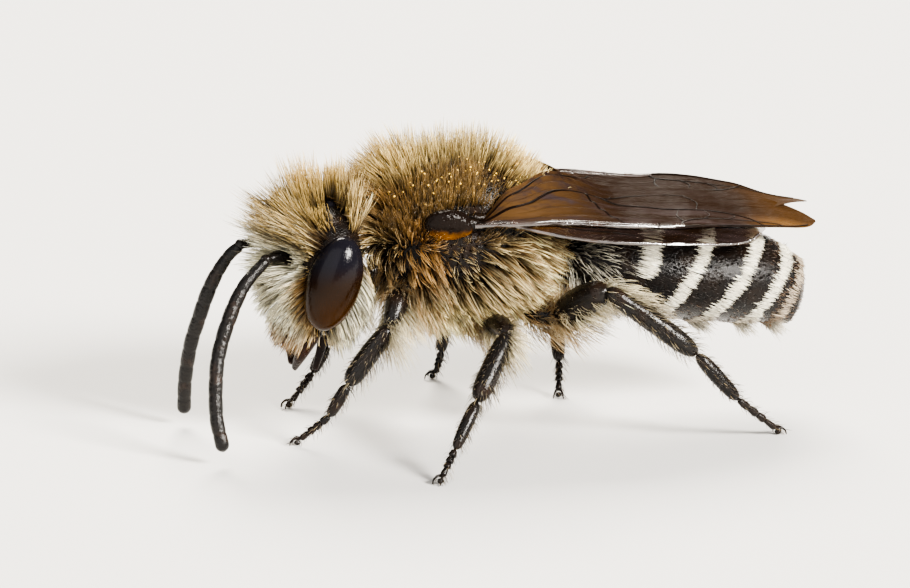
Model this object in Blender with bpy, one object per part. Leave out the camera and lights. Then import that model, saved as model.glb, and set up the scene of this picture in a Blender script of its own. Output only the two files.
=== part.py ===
"""A male plasterer bee standing on its six feet, life-size, as closed solids.

Blender 4.5. The animal faces -X, its left side is -Y and +Z is up. Sizes in this file are millimetres,
and each finished mesh is scaled to metres. The furred solids reach to the tips of the coat.
"""

import math

import bmesh
import bpy
import numpy as np
from mathutils import Matrix, Vector

TO_METRES = 0.001
GAP = 0.04  # the thin cut between neighbouring solids
FLOOR = 0.0
SHARP_ANGLE = math.radians(40)  # faces that meet at more than this show an edge

# The main masses: where they are, and how far each reaches from its centre, coat and all.
THORAX_CENTRE = Vector((-0.80, 0.0, 3.20))
THORAX_REACH = {"-x": 1.78, "+x": 1.68, "-y": 1.42, "+y": 1.42, "-z": 1.66, "+z": 1.62}
HEAD_CENTRE = Vector((-3.22, -0.10, 2.90))
HEAD_REACH = {"-x": 1.14, "+x": 0.72, "-y": 1.24, "+y": 1.24, "-z": 1.62, "+z": 1.58}
HEAD_YAW = math.radians(7)  # the face turns a little to the left
FURRED_SQUARENESS = 2.6  # 2 is an ellipsoid, more is boxier

# In the head's own frame: +X is its back, +Z its crown.
EYE_PLACE, EYE_REACH = Vector((0.03, 0.97, -0.19)), Vector((0.45, 0.38, 0.80))
EYE_PITCH = math.radians(18)  # its top leans back
MANDIBLE_ROOT, MANDIBLE_TIP = Vector((-0.14, 0.28, -1.30)), Vector((-0.34, 0.28, -1.98))
TONGUE_ROOT, TONGUE_TIP = Vector((0.32, 0.0, -1.30)), Vector((0.16, 0.0, -2.00))
MANDIBLE_RADII, TONGUE_RADII = (0.24, 0.21), (0.25, 0.22)
FACE_FRONT = -0.55  # where the antennae leave the face
SOCKET_SIDE, SOCKET_HEIGHT = 0.27, 0.05

TEGULA_PLACE, TEGULA_REACH = Vector((-1.20, 1.38, 3.59)), Vector((0.38, 0.28, 0.27))

# The abdomen as rings: place of the centre, half height, half width and lean in degrees.
ABDOMEN_RINGS = (
    (0.82, 2.66, 0.42, 0.52, 0),
    (1.06, 2.64, 0.70, 0.92, 4),
    (1.60, 2.56, 0.84, 1.12, 9),
    (2.02, 2.49, 0.87, 1.18, 20),
    (2.75, 2.36, 0.96, 1.21, 36),
    (3.56, 2.20, 0.93, 1.12, 38),
    (4.21, 2.00, 0.76, 0.90, 35),
    (4.60, 1.87, 0.61, 0.69, 28),
    (4.83, 1.80, 0.50, 0.54, 18),
)
# Where one abdominal segment ends and the next begins, as an index into the rings.
ABDOMEN_BREAKS = (0, 3, 4, 5, 6, 7, 8)
TERGITE_STEP = 0.94  # a segment starts this much narrower than the one before it ends
ABDOMEN_SIDES = 20

# The antennae: the elbow after the scape, then the upper and the lower length of the whip.
FEELER_RADIUS = 0.225
ANTENNAE = {
    "left": (
        Vector((-4.24, -0.72, 3.06)),
        (Vector((-4.58, -0.91, 2.60)), Vector((-4.84, -1.09, 2.11)), Vector((-5.01, -1.27, 1.62))),
        (Vector((-5.09, -1.50, 1.03)), Vector((-5.02, -1.74, 0.24))),
    ),
    "right": (
        Vector((-4.40, 0.15, 3.06)),
        (Vector((-4.76, 0.25, 2.59)), Vector((-4.98, 0.33, 2.04)), Vector((-5.13, 0.42, 1.48))),
        (Vector((-5.23, 0.53, 0.80)), Vector((-5.24, 0.60, 0.20))),
    ),
}

# Each leg: hip, knee, ankle, middle of the foot and its last joint, with the thickness at each.
LEG_RADII = {
    "front": (0.25, 0.25, 0.24, 0.23, 0.225),
    "middle": (0.26, 0.25, 0.24, 0.23, 0.225),
    "hind": (0.28, 0.25, 0.25, 0.24, 0.225),
}
LEGS = {
    ("front", "left"): (
        (-1.85, -0.60, 2.50), (-2.17, -1.15, 1.98), (-2.89, -1.22, 1.07),
        (-3.18, -1.12, 0.52), (-3.62, -0.92, 0.17),
    ),
    ("front", "right"): (
        (-1.60, 0.40, 2.30), (-2.15, 1.28, 1.96), (-2.72, 1.38, 0.98),
        (-2.98, 1.32, 0.53), (-3.36, 1.20, 0.17),
    ),
    ("middle", "left"): (
        (-0.45, -0.70, 1.82), (-0.43, -2.00, 1.99), (-1.08, -2.68, 1.12),
        (-1.54, -3.12, 0.46), (-1.80, -3.36, 0.17),
    ),
    ("middle", "right"): (
        (-0.45, 0.70, 1.95), (-0.52, 1.85, 2.20), (-0.60, 2.18, 0.98),
        (-0.63, 2.24, 0.48), (-0.72, 2.30, 0.17),
    ),
    ("hind", "left"): (
        (0.56, -0.85, 1.80), (1.20, -1.92, 2.60), (2.64, -2.10, 1.50),
        (3.34, -2.14, 0.69), (4.04, -1.92, 0.17),
    ),
    ("hind", "right"): (
        (0.34, 0.80, 1.88), (0.98, 1.98, 2.35), (1.14, 1.45, 1.10),
        (1.12, 1.14, 0.52), (1.05, 0.88, 0.17),
    ),
}
LIMB_SIDES = 10
JOINT_SPARE = 1.2  # a length runs on past its joint by so many radii before it is trimmed
TOE_BACK, TOE_AHEAD = 0.14, 0.18  # the foot lies level this far before and past its last joint
TOE_HEIGHT, TOE_RADIUS = 0.13, 0.22
COXA_LENGTH = 0.50  # a leg starts this far inward of its hip, towards a place in the breast
COXA_AIM_X, COXA_AIM_SHARE, COXA_AIM_Z = -0.75, 0.3, 2.35

# The folded wings. The crest is the height of the membrane over the midline, and the tilt is how much
# higher the right side lies for each millimetre across: both along X. Near the root the inner edge climbs.
WING_CREST = (
    (-0.83, 3.60), (0.55, 3.64), (1.15, 3.62), (1.75, 3.55), (2.40, 3.49), (2.93, 3.47), (3.70, 3.36),
    (4.20, 3.29), (5.06, 3.14),
)
WING_TILT = (
    (-0.80, 0.06), (0.50, 0.08), (1.15, 0.11), (2.20, 0.11), (3.40, 0.19), (4.20, 0.22), (5.06, 0.30),
)
WING_CLIMB = 0.34  # the inner edge's rise, none behind CLIMB_FROM and all of it ahead of CLIMB_TO
CLIMB_FROM, CLIMB_TO = 1.80, 0.40
WING_THICKNESS = 0.50
FOREWING_DROP, HINDWING_DROP = 0.12, 0.67  # how far the underside lies below the membrane's height
# Each place along X with how far out the outer and the inner edge lie.
FOREWING_EDGES = (
    (-0.62, 1.56, 1.28), (0.00, 1.62, 0.90), (0.55, 1.60, 0.42), (1.15, 1.50, 0.04), (1.75, 1.40, 0.04),
    (2.40, 1.29, 0.04), (2.93, 1.16, 0.04), (3.60, 0.97, 0.04), (4.18, 0.82, 0.04), (4.66, 0.64, 0.04),
    (4.92, 0.50, 0.10), (5.05, 0.40, 0.20),
)
HINDWING_EDGES = (
    (0.00, 1.42, 1.10), (0.55, 1.52, 0.98), (1.15, 1.58, 0.94), (1.75, 1.57, 0.90), (2.40, 1.48, 0.80),
    (2.93, 1.38, 0.70), (3.60, 1.17, 0.60), (4.08, 0.90, 0.62),
)

COLOURS = {
    "fur": ((0.42, 0.29, 0.14), 0.85),
    "shell": ((0.03, 0.024, 0.02), 0.35),
    "eye": ((0.02, 0.016, 0.014), 0.12),
    "feeler": ((0.02, 0.018, 0.017), 0.5),
    "mouth": ((0.12, 0.045, 0.02), 0.4),
    "wing": ((0.22, 0.14, 0.08), 0.25),
}


def clear_scene():
    """Removes whatever the start-up file holds."""
    for leftover in list(bpy.data.objects):
        bpy.data.objects.remove(leftover)


def material_for(name):
    """The Principled material of that name, made the first time it is asked for."""
    found = bpy.data.materials.get(name)
    if found:
        return found
    colour, roughness = COLOURS[name]
    made = bpy.data.materials.new(name)
    made.use_nodes = True
    surface = made.node_tree.nodes["Principled BSDF"]
    surface.inputs["Base Color"].default_value = (*colour, 1.0)
    surface.inputs["Roughness"].default_value = roughness
    surface.inputs["Metallic"].default_value = 0.0
    return made


def to_object(bm, name, material=None):
    """Turns a bmesh in millimetres into an object in metres. With no material it is a cutter."""
    bmesh.ops.recalc_face_normals(bm, faces=bm.faces)
    bmesh.ops.transform(bm, matrix=Matrix.Scale(TO_METRES, 4), verts=bm.verts)
    mesh = bpy.data.meshes.new(name)
    bm.to_mesh(mesh)
    bm.free()
    made = bpy.data.objects.new(name, mesh)
    bpy.context.scene.collection.objects.link(made)
    if material is None:
        made.hide_render = True
        made.display_type = "WIRE"
        return made
    mesh.materials.append(material_for(material))
    mesh.shade_smooth()
    mesh.set_sharp_from_angle(angle=SHARP_ANGLE)
    return made


def cut(made, *cutters):
    """Takes each cutter away from an object."""
    for cutter in cutters:
        modifier = made.modifiers.new("part_from_" + cutter.name, "BOOLEAN")
        modifier.operation = "DIFFERENCE"
        modifier.solver = "EXACT"
        modifier.object = cutter


def side_sign(side):
    """-1 for the left side, which is -Y, and 1 for the right."""
    return -1 if side == "left" else 1


def mirrored(point, side):
    """A place given for +Y, on the side asked for."""
    return Vector((point.x, point.y * side_sign(side), point.z))


def rounded(centre, reach, squareness=2.0, turn=None, segments=24, rings=14, grow=0.0):
    """A closed rounded mass whose reach from the centre may differ in each direction."""
    bm = bmesh.new()
    bmesh.ops.create_uvsphere(bm, u_segments=segments, v_segments=rings, radius=1)
    for vert in bm.verts:
        size = sum(abs(x) ** squareness for x in vert.co) ** (1 / squareness)
        for i, axis in enumerate("xyz"):
            side = ("+" if vert.co[i] > 0 else "-") + axis
            vert.co[i] *= (reach[side] + grow) / size
    place = Matrix.Translation(centre) @ (turn or Matrix.Identity(4))
    bmesh.ops.transform(bm, matrix=place, verts=bm.verts)
    return bm


def even(reach):
    """A reach that is alike on both sides of each axis, from three half sizes."""
    return {sign + axis: reach[i] for i, axis in enumerate("xyz") for sign in "+-"}


def loft(rings):
    """A closed skin over rings that have the same number of points."""
    bm = bmesh.new()
    loops = [[bm.verts.new(point) for point in ring] for ring in rings]
    for one, other in zip(loops, loops[1:]):
        for i in range(len(one)):
            following = (i + 1) % len(one)
            bm.faces.new((one[i], one[following], other[following], other[i]))
    bm.faces.new(loops[0])
    bm.faces.new(loops[-1])
    return bm


def tube(points, radii, sides=LIMB_SIDES):
    """A tapering tube through the points, its ends square to its path."""
    rings, across = [], None
    for i, point in enumerate(points):
        before, after = points[max(i - 1, 0)], points[min(i + 1, len(points) - 1)]
        along = (after - before).normalized()
        across = (across or along.orthogonal()).cross(along).cross(along).normalized() * -1
        other = along.cross(across)
        turns = [2 * math.pi * k / sides for k in range(sides)]
        rings.append([point + radii[i] * (math.cos(a) * across + math.sin(a) * other) for a in turns])
    return loft(rings)


def trim(bm, place, normal):
    """Cuts away all on the normal's side of a plane, and closes the cut."""
    everything = [*bm.verts, *bm.edges, *bm.faces]
    bmesh.ops.bisect_plane(bm, geom=everything, plane_co=place, plane_no=normal, clear_outer=True)
    bmesh.ops.holes_fill(bm, edges=bm.edges)


def trim_at_joint(bm, joint, inward, onward, radius):
    """Ends a limb's length at a joint: half the gap short of the mitre, and blunt on the outer side.

    inward points along the limb towards the joint, and onward along the next length away from it.
    """
    trim(bm, joint - inward.normalized() * GAP / 2, (inward + onward).normalized())
    outer = (inward - onward).normalized()
    trim(bm, joint + outer * radius, outer)


def limb(name, path, first, last, radii, material):
    """The length of a limb between two joints of its path, parted from the lengths on either side."""
    start, end = path[first], path[last]
    into, out_of = path[first + 1] - start, end - path[last - 1]
    ahead = start - into.normalized() * radii[first] * (JOINT_SPARE if first else 0.0)
    beyond = end + out_of.normalized() * radii[last] * (JOINT_SPARE if last < len(path) - 1 else 0.0)
    inner = path[first + 1 : last]
    bm = tube([ahead, *inner, beyond], [radii[first], *radii[first + 1 : last], radii[last]])
    if first:
        came = (start - path[first - 1]).normalized()
        trim_at_joint(bm, start, -into.normalized(), -came, radii[first])
    if last < len(path) - 1:
        goes = (path[last + 1] - end).normalized()
        trim_at_joint(bm, end, out_of.normalized(), goes, radii[last])
    trim(bm, Vector((0, 0, FLOOR)), Vector((0, 0, -1)))
    return to_object(bm, name, material)


def head_frame():
    """The matrix that carries the head's own frame to the animal's."""
    return Matrix.Translation(HEAD_CENTRE) @ Matrix.Rotation(HEAD_YAW, 4, "Z")


def build_head(thorax_cutter):
    """The furred head, its eyes in their hollows, the jaws and the tongue."""
    frame = head_frame()
    turn = frame.to_3x3().to_4x4()
    eye_turn = turn @ Matrix.Rotation(EYE_PITCH, 4, "Y")
    head = to_object(rounded(HEAD_CENTRE, HEAD_REACH, FURRED_SQUARENESS, turn), "head", "fur")
    head_cutter = to_object(rounded(HEAD_CENTRE, HEAD_REACH, FURRED_SQUARENESS, turn, grow=GAP), "cut_head")
    cut(head, thorax_cutter)
    for side in ("left", "right"):
        place = frame @ mirrored(EYE_PLACE, side)
        eye = rounded(place, even(EYE_REACH), turn=eye_turn, segments=18, rings=12)
        to_object(eye, "eye_" + side, "eye")
        hollow = rounded(place, even(EYE_REACH), turn=eye_turn, segments=18, rings=12, grow=GAP)
        cut(head, to_object(hollow, "cut_eye_" + side))
        ends = [frame @ mirrored(end, side) for end in (MANDIBLE_ROOT, MANDIBLE_TIP)]
        jaw = tube(ends, MANDIBLE_RADII)
        cut(to_object(jaw, "mandible_" + side, "mouth"), head_cutter)
    tongue = tube([frame @ TONGUE_ROOT, frame @ TONGUE_TIP], TONGUE_RADII)
    cut(to_object(tongue, "tongue", "mouth"), head_cutter)
    return head_cutter


def build_antenna(side, head_cutter):
    """The scape, and the long whip in an upper and a lower length."""
    frame = head_frame()
    socket = frame @ mirrored(Vector((FACE_FRONT, SOCKET_SIDE, SOCKET_HEIGHT)), side)
    elbow, upper, lower = ANTENNAE[side]
    path = [socket, elbow, *upper, *lower]
    radii = [FEELER_RADIUS] * len(path)
    scape = limb("antenna_scape_" + side, path, 0, 1, radii, "feeler")
    cut(scape, head_cutter)
    cut(limb("antenna_whip_upper_" + side, path, 1, len(upper) + 1, radii, "feeler"), head_cutter)
    limb("antenna_whip_lower_" + side, path, len(upper) + 1, len(path) - 1, radii, "feeler")


def build_thorax():
    """The furred thorax with the two wing-base scales on it. Returns its cutter."""
    bm = rounded(THORAX_CENTRE, THORAX_REACH, FURRED_SQUARENESS, segments=28, rings=16)
    to_object(bm, "thorax", "fur")
    grown = rounded(THORAX_CENTRE, THORAX_REACH, FURRED_SQUARENESS, segments=28, rings=16, grow=GAP)
    cutter = to_object(grown, "cut_thorax")
    for side in ("left", "right"):
        scale = rounded(mirrored(TEGULA_PLACE, side), even(TEGULA_REACH), segments=14, rings=10)
        cut(to_object(scale, "tegula_" + side, "shell"), cutter)
    return cutter


def abdomen_ring(centre_x, centre_z, half_height, half_width, lean, scale=1.0, grow=0.0):
    """The points of one upright oval, leaning back by some degrees."""
    up = Vector((math.sin(math.radians(lean)), 0, math.cos(math.radians(lean))))
    centre = Vector((centre_x, 0, centre_z))
    turns = [2 * math.pi * k / ABDOMEN_SIDES for k in range(ABDOMEN_SIDES)]
    tall, wide = half_height * scale + grow, half_width * scale + grow
    return [centre + up * tall * math.cos(a) + Vector((0, 1, 0)) * wide * math.sin(a) for a in turns]


def build_abdomen(thorax_cutter):
    """Six segments, each starting a little inside the rim of the one before. Returns their cutter."""
    spans = list(zip(ABDOMEN_BREAKS, ABDOMEN_BREAKS[1:]))
    for number, (first, last) in enumerate(spans, start=1):
        rings = [abdomen_ring(*ABDOMEN_RINGS[i]) for i in range(first, last + 1)]
        if first:
            x, z, tall, wide, lean = ABDOMEN_RINGS[first]
            ahead = Vector((math.cos(math.radians(lean)), 0, -math.sin(math.radians(lean)))) * GAP
            rings[0] = [
                point + ahead for point in abdomen_ring(x, z, tall, wide, lean, scale=TERGITE_STEP)
            ]
        segment = to_object(loft(rings), f"abdomen_{number}", "shell")
        if not first:
            cut(segment, thorax_cutter)
    grown = [abdomen_ring(*ring, grow=GAP) for ring in ABDOMEN_RINGS]
    return to_object(loft(grown), "cut_abdomen")


def from_table(table, x):
    """A table of places along X with a value for each, read between them."""
    places, values = zip(*table)
    return float(np.interp(x, places, values))


def wing_height(x, out, side):
    """The height of the folded wing's membrane at a place along X and so far out from the midline."""
    outer, inner = (from_table([(edge[0], edge[i]) for edge in FOREWING_EDGES], x) for i in (1, 2))
    inward = float(np.clip((outer - out) / (outer - inner), 0.0, 1.0))
    climb = WING_CLIMB * inward * float(np.interp(x, (CLIMB_TO, CLIMB_FROM), (1.0, 0.0)))
    return from_table(WING_CREST, x) + from_table(WING_TILT, x) * out * side_sign(side) + climb


def build_wing(name, edges, drop, side, cutters):
    """One wing as a slab between its edges, hollowed below where it lies on the body."""
    rings = []
    for x, *across in edges:
        low = [Vector((x, y * side_sign(side), wing_height(x, y, side) - drop)) for y in across]
        high = [place + Vector((0, 0, WING_THICKNESS)) for place in low]
        rings.append([low[0], low[1], high[1], high[0]])
    wing = to_object(loft(rings), f"{name}_{side}", "wing")
    cut(wing, *cutters)


def build_leg(pair, side, thorax_cutter):
    """Thigh, shin and foot of one leg. The foot's end lies level, and is flat where it stands."""
    path = [Vector(joint) for joint in LEGS[pair, side]]
    aim = Vector((COXA_AIM_X, COXA_AIM_SHARE * path[0].y, COXA_AIM_Z))
    path.insert(0, path[0] + (aim - path[0]).normalized() * COXA_LENGTH)
    level = ((path[-1] - path[-2]) * Vector((1, 1, 0))).normalized()
    heel, toe = path[-1] - level * TOE_BACK, path[-1] + level * TOE_AHEAD
    toe.z = TOE_HEIGHT
    path[-1:] = [heel, toe]
    radii = (LEG_RADII[pair][0], *LEG_RADII[pair], TOE_RADIUS)
    cut(limb(f"{pair}_femur_{side}", path, 0, 2, radii, "shell"), thorax_cutter)
    limb(f"{pair}_tibia_{side}", path, 2, 3, radii, "shell")
    limb(f"{pair}_tarsus_{side}", path, 3, 6, radii, "shell")


def centre_on_origin():
    """Moves the whole animal so that the middle of its footprint is at the origin, on the floor."""
    bpy.context.view_layer.update()
    graph = bpy.context.evaluated_depsgraph_get()
    corners = [
        Vector(corner)
        for made in bpy.data.objects
        if not made.hide_render
        for corner in made.evaluated_get(graph).bound_box
    ]
    middle = [(min(c[i] for c in corners) + max(c[i] for c in corners)) / 2 for i in (0, 1)]
    shift = Matrix.Translation((-middle[0], -middle[1], 0))
    for made in bpy.data.objects:
        made.data.transform(shift)


def main():
    """Builds the bee."""
    clear_scene()
    thorax_cutter = build_thorax()
    head_cutter = build_head(thorax_cutter)
    abdomen_cutter = build_abdomen(thorax_cutter)
    for side in ("left", "right"):
        build_antenna(side, head_cutter)
        build_wing("forewing", FOREWING_EDGES, FOREWING_DROP, side, (thorax_cutter, abdomen_cutter))
        build_wing("hindwing", HINDWING_EDGES, HINDWING_DROP, side, (thorax_cutter, abdomen_cutter))
        for pair in ("front", "middle", "hind"):
            build_leg(pair, side, thorax_cutter)
    centre_on_origin()


main()
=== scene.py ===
"""A male plasterer bee, life-size, standing with its wings folded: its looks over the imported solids.

The bee is modelled in millimetres in its own frame, in which the head faces -X, the left side is -Y, +Z is
up, the body's middle is Y = 0 and the floor is Z = 0. Each finished piece is then carried to the part's
frame in metres. Hairs are real tapered spines, rooted on the skin they grow from.
"""

from __future__ import annotations

import logging
import math
from dataclasses import dataclass, field
from enum import Enum
from functools import partial
from typing import Callable, Sequence

import bpy
import numpy as np
from mathutils import Matrix, Vector


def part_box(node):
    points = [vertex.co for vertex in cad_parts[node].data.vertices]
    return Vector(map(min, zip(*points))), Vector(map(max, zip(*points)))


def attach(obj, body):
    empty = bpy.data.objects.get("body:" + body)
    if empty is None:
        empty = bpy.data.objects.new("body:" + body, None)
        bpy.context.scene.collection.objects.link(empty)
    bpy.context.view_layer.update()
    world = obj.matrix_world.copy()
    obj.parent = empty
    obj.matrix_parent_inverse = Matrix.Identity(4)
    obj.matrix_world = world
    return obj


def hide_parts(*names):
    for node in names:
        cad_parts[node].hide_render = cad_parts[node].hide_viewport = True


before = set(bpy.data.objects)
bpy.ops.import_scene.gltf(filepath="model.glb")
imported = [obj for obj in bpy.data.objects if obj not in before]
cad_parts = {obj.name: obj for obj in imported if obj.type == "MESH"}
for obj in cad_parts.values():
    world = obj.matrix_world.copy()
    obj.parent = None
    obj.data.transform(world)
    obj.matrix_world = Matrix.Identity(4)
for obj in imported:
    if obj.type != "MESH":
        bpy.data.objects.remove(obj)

LOG = logging.getLogger("bee")
Numbers = np.ndarray
Row = Sequence[float]
Dice = np.random.Generator
Piece = bpy.types.Object
Material = bpy.types.Material
Colour = tuple[float, float, float]
Marks = tuple[tuple[float, ...], ...]  # places along a line
BODY = "root"
METRES = 0.001  # a millimetre
TO_MM = 1000.0
CURVE_STEPS = 24  # how finely a smooth curve is drawn between two of its points
SHADE_ALL = 180.0  # the sharp angle of a piece with no sharp edge


# ---------------------------------------------------------------- numbers


def smooth(low: float, high: float, value: Numbers) -> Numbers:
    """An even rise from 0 at low to 1 at high, or a fall where high is the smaller.

    Args:
        low: Where the result is 0.
        high: Where the result is 1.
        value: The numbers to judge.

    Returns:
        One number from 0 to 1 for each value.
    """
    share = np.clip((value - low) / (high - low), 0.0, 1.0)
    return share * share * (3.0 - 2.0 * share)


def unit(vectors: Numbers) -> Numbers:
    """The same directions, each with a length of 1."""
    return vectors / np.maximum(np.linalg.norm(vectors, axis=-1, keepdims=True), 1e-9)


def blend(one: Numbers, other: Numbers, share: Numbers) -> Numbers:
    """Mixes two vectors or colours, or rows of them, by a share for each row.

    Args:
        one: The result where the share is 0.
        other: The result where the share is 1.
        share: One number from 0 to 1 for each row.

    Returns:
        The mixed rows.
    """
    weight = np.asarray(share, float)[:, None]
    return np.asarray(one, float) * (1.0 - weight) + np.asarray(other, float) * weight


def through(points: Sequence[Row], count: int) -> Numbers:
    """A smooth curve through points, read at even steps of its length.

    Args:
        points: The places the curve passes through.
        count: How many places to read.

    Returns:
        The places along the curve.
    """
    marks = np.asarray(points, float)
    padded = np.vstack([2 * marks[0] - marks[1], marks, 2 * marks[-1] - marks[-2]])
    fine = []
    for a, b, c, d in zip(padded, padded[1:], padded[2:], padded[3:]):
        for t in np.linspace(0.0, 1.0, CURVE_STEPS, endpoint=False):
            squared, cubed = 2 * a - 5 * b + 4 * c - d, 3 * b - a - 3 * c + d
            fine.append(0.5 * (2 * b + (c - a) * t + squared * t**2 + cubed * t**3))
    fine.append(marks[-1])
    line = np.array(fine)
    lengths = np.concatenate([[0.0], np.cumsum(np.linalg.norm(np.diff(line, axis=0), axis=1))])
    steps = np.linspace(0.0, lengths[-1], count)
    return np.stack([np.interp(steps, lengths, line[:, i]) for i in range(line.shape[1])], axis=1)


# ---------------------------------------------------------------- materials


class Value:
    """A shader socket that takes part in plain arithmetic: each operation adds a Math node."""

    def __init__(self, tree: bpy.types.NodeTree, socket: bpy.types.NodeSocket) -> None:
        """Wraps one output socket of a material's node tree."""
        self.tree = tree
        self.socket = socket

    def _math(
        self, operation: str, *others: "Value | float", swap: bool = False, clamp: bool = False
    ) -> "Value":
        """Adds a Math node of this value with others.

        Args:
            operation: The Math node's operation.
            others: The other operands.
            swap: Whether this value is the second operand.
            clamp: Whether the result is kept from 0 to 1.

        Returns:
            The node's result.
        """
        node = self.tree.nodes.new("ShaderNodeMath")
        node.operation = operation
        node.use_clamp = clamp
        operands = [self, *others]
        if swap:
            operands.reverse()
        for place, operand in zip(node.inputs, operands):
            if isinstance(operand, Value):
                self.tree.links.new(operand.socket, place)
            else:
                place.default_value = operand
        return Value(self.tree, node.outputs[0])

    def __add__(self, other: "Value | float") -> "Value":
        """The sum."""
        return self._math("ADD", other)

    __radd__ = __add__

    def __sub__(self, other: "Value | float") -> "Value":
        """The difference."""
        return self._math("SUBTRACT", other)

    def __rsub__(self, other: float) -> "Value":
        """A number less this value."""
        return self._math("SUBTRACT", other, swap=True)

    def __mul__(self, other: "Value | float") -> "Value":
        """The product."""
        return self._math("MULTIPLY", other)

    __rmul__ = __mul__

    def __truediv__(self, other: "Value | float") -> "Value":
        """The quotient."""
        return self._math("DIVIDE", other)

    def within(self, low: float, high: float) -> "Value":
        """An even rise from 0 at low to 1 at high, or a fall where high is the smaller."""
        share = ((self - low) / (high - low))._math("ADD", 0.0, clamp=True)
        return share * share * (3.0 - 2.0 * share)


class Shader:
    """One material under construction, around a single Principled surface."""

    def __init__(self, name: str) -> None:
        """Starts a material with nothing linked to its surface.

        Args:
            name: The material's name.
        """
        self.material = bpy.data.materials.new(name)
        self.material.use_nodes = True
        self.tree = self.material.node_tree
        self.surface = self.tree.nodes["Principled BSDF"]

    def node(
        self, kind: str, output: str | int = 0, settings: dict | None = None, **sockets: object
    ) -> Value:
        """Adds any node.

        Args:
            kind: The node's type, without the ShaderNode that starts it.
            output: The output wanted, by name or place.
            settings: Attributes of the node, set before its sockets.
            sockets: A value or a Value for each input socket. Spaces in its name are written as
                underscores, and a socket known by its place is written as i and its number.

        Returns:
            The output wanted.
        """
        node = self.tree.nodes.new("ShaderNode" + kind)
        for key, value in (settings or {}).items():
            setattr(node, key, value)
        for key, value in sockets.items():
            numbered = key[0] == "i" and key[1:].isdigit()
            self.plug(node.inputs[int(key[1:]) if numbered else key.replace("_", " ")], value)
        return Value(self.tree, node.outputs[output])

    def plug(self, place: bpy.types.NodeSocket, value: object) -> None:
        """Links a Value to an input socket, or sets the socket to a number or colour.

        Args:
            place: The input socket.
            value: What goes into it.
        """
        if isinstance(value, Value):
            self.tree.links.new(value.socket, place)
        elif isinstance(value, tuple) and len(value) == 3 and place.type == "RGBA":
            place.default_value = (*value, 1.0)
        else:
            place.default_value = value

    def set(self, **sockets: object) -> None:
        """Sets or links the surface's own sockets, their spaces written as underscores."""
        for key, value in sockets.items():
            self.plug(self.surface.inputs[key.replace("_", " ")], value)

    def place(self) -> Value:
        """The place on the piece, in millimetres of the part's frame."""
        coordinates = self.node("TexCoord", "Object")
        return self.node("VectorMath", settings={"operation": "SCALE"}, i0=coordinates, Scale=TO_MM)

    def axis(self, name: str) -> Value:
        """One coordinate of the place, in millimetres of the part's frame."""
        return self.node("SeparateXYZ", name, Vector=self.place())

    def noise(
        self, scale: float, detail: float = 3.0, roughness: float = 0.55, at: Value | None = None
    ) -> Value:
        """Soft noise whose grain is about one over scale millimetres across."""
        place = at or self.place()
        return self.node("TexNoise", "Fac", Vector=place, Scale=scale, Detail=detail, Roughness=roughness)

    def mix(self, share: "Value | float", one: object, other: object) -> Value:
        """One colour at share 0 and the other at share 1."""
        return self.node("Mix", 2, {"data_type": "RGBA"}, i0=share, i6=one, i7=other)

    def bump(self, height: Value, depth_mm: float, strength: float = 1.0) -> None:
        """Gives the surface relief of that depth."""
        self.set(Normal=self.node("Bump", Height=height, Distance=depth_mm * METRES, Strength=strength))


@dataclass(frozen=True)
class Finish:
    """A material of the bee, made the same way for all: each finish only dresses its own surface."""

    name: str

    def build(self) -> Material:
        """Makes the material.

        Returns:
            The new material.
        """
        shader = Shader(self.name)
        self.dress(shader)
        return shader.material

    def dress(self, shader: Shader) -> None:
        """Gives the surface its colour, gloss and relief."""
        raise NotImplementedError(self.name)


@dataclass(frozen=True)
class Chitin(Finish):
    """Hard shell: nearly black, glossy, dimpled with fine pits and slightly uneven in tone."""

    colour: Colour = (0.0055, 0.0045, 0.004)
    warm: Colour = (0.02, 0.01, 0.005)
    warmth: float = 0.35
    roughness: float = 0.24
    shine: float = 0.38
    uneven: float = 0.2  # how much the roughness varies
    pits_per_mm: float = 17.0
    pit_depth: float = 0.012
    bend: float = 1.4  # the index of refraction: a low one keeps glancing light from greying the shell

    def dress(self, shader: Shader) -> None:
        """Dresses the surface.

        Args:
            shader: The material under construction.
        """
        pits = shader.node("TexVoronoi", "Distance", Vector=shader.place(), Scale=self.pits_per_mm)
        patches = shader.noise(2.6)
        shader.set(
            Base_Color=shader.mix(patches.within(0.5 - self.warmth * 0.3, 0.85), self.colour, self.warm),
            Roughness=self.roughness + self.uneven * shader.noise(9.0),
            Specular_IOR_Level=self.shine,
            IOR=self.bend,
        )
        shader.bump(pits.within(0.02, 0.34) + 0.3 * shader.noise(38.0), self.pit_depth)


@dataclass(frozen=True)
class EyeGloss(Finish):
    """A polished compound eye: blue-black above and olive brown below."""

    name: str = "eye_gloss"
    top_z: float = 3.35
    low_z: float = 2.15
    facets_per_mm: float = 34.0
    crown: Colour = (0.006, 0.0055, 0.008)
    middle: Colour = (0.009, 0.0034, 0.0008)
    foot: Colour = (0.023, 0.0082, 0.0007)

    def dress(self, shader: Shader) -> None:
        """Dresses the surface.

        Args:
            shader: The material under construction.
        """
        height = shader.axis("Z") + 0.1 * shader.noise(1.6)
        lower = shader.mix(height.within(self.low_z - 0.05, self.low_z + 0.62), self.foot, self.middle)
        edges = {"feature": "DISTANCE_TO_EDGE"}
        grain = self.facets_per_mm
        facets = shader.node("TexVoronoi", "Distance", edges, Vector=shader.place(), Scale=grain)
        shader.set(
            Base_Color=shader.mix(height.within(self.top_z - 0.62, self.top_z - 0.18), lower, self.crown),
            Roughness=0.06 + 0.03 * shader.noise(5.0),
            Specular_IOR_Level=0.5,
            IOR=1.235,
        )
        shader.bump(facets.within(0.0, 0.12), 0.0006, 0.5)


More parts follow.
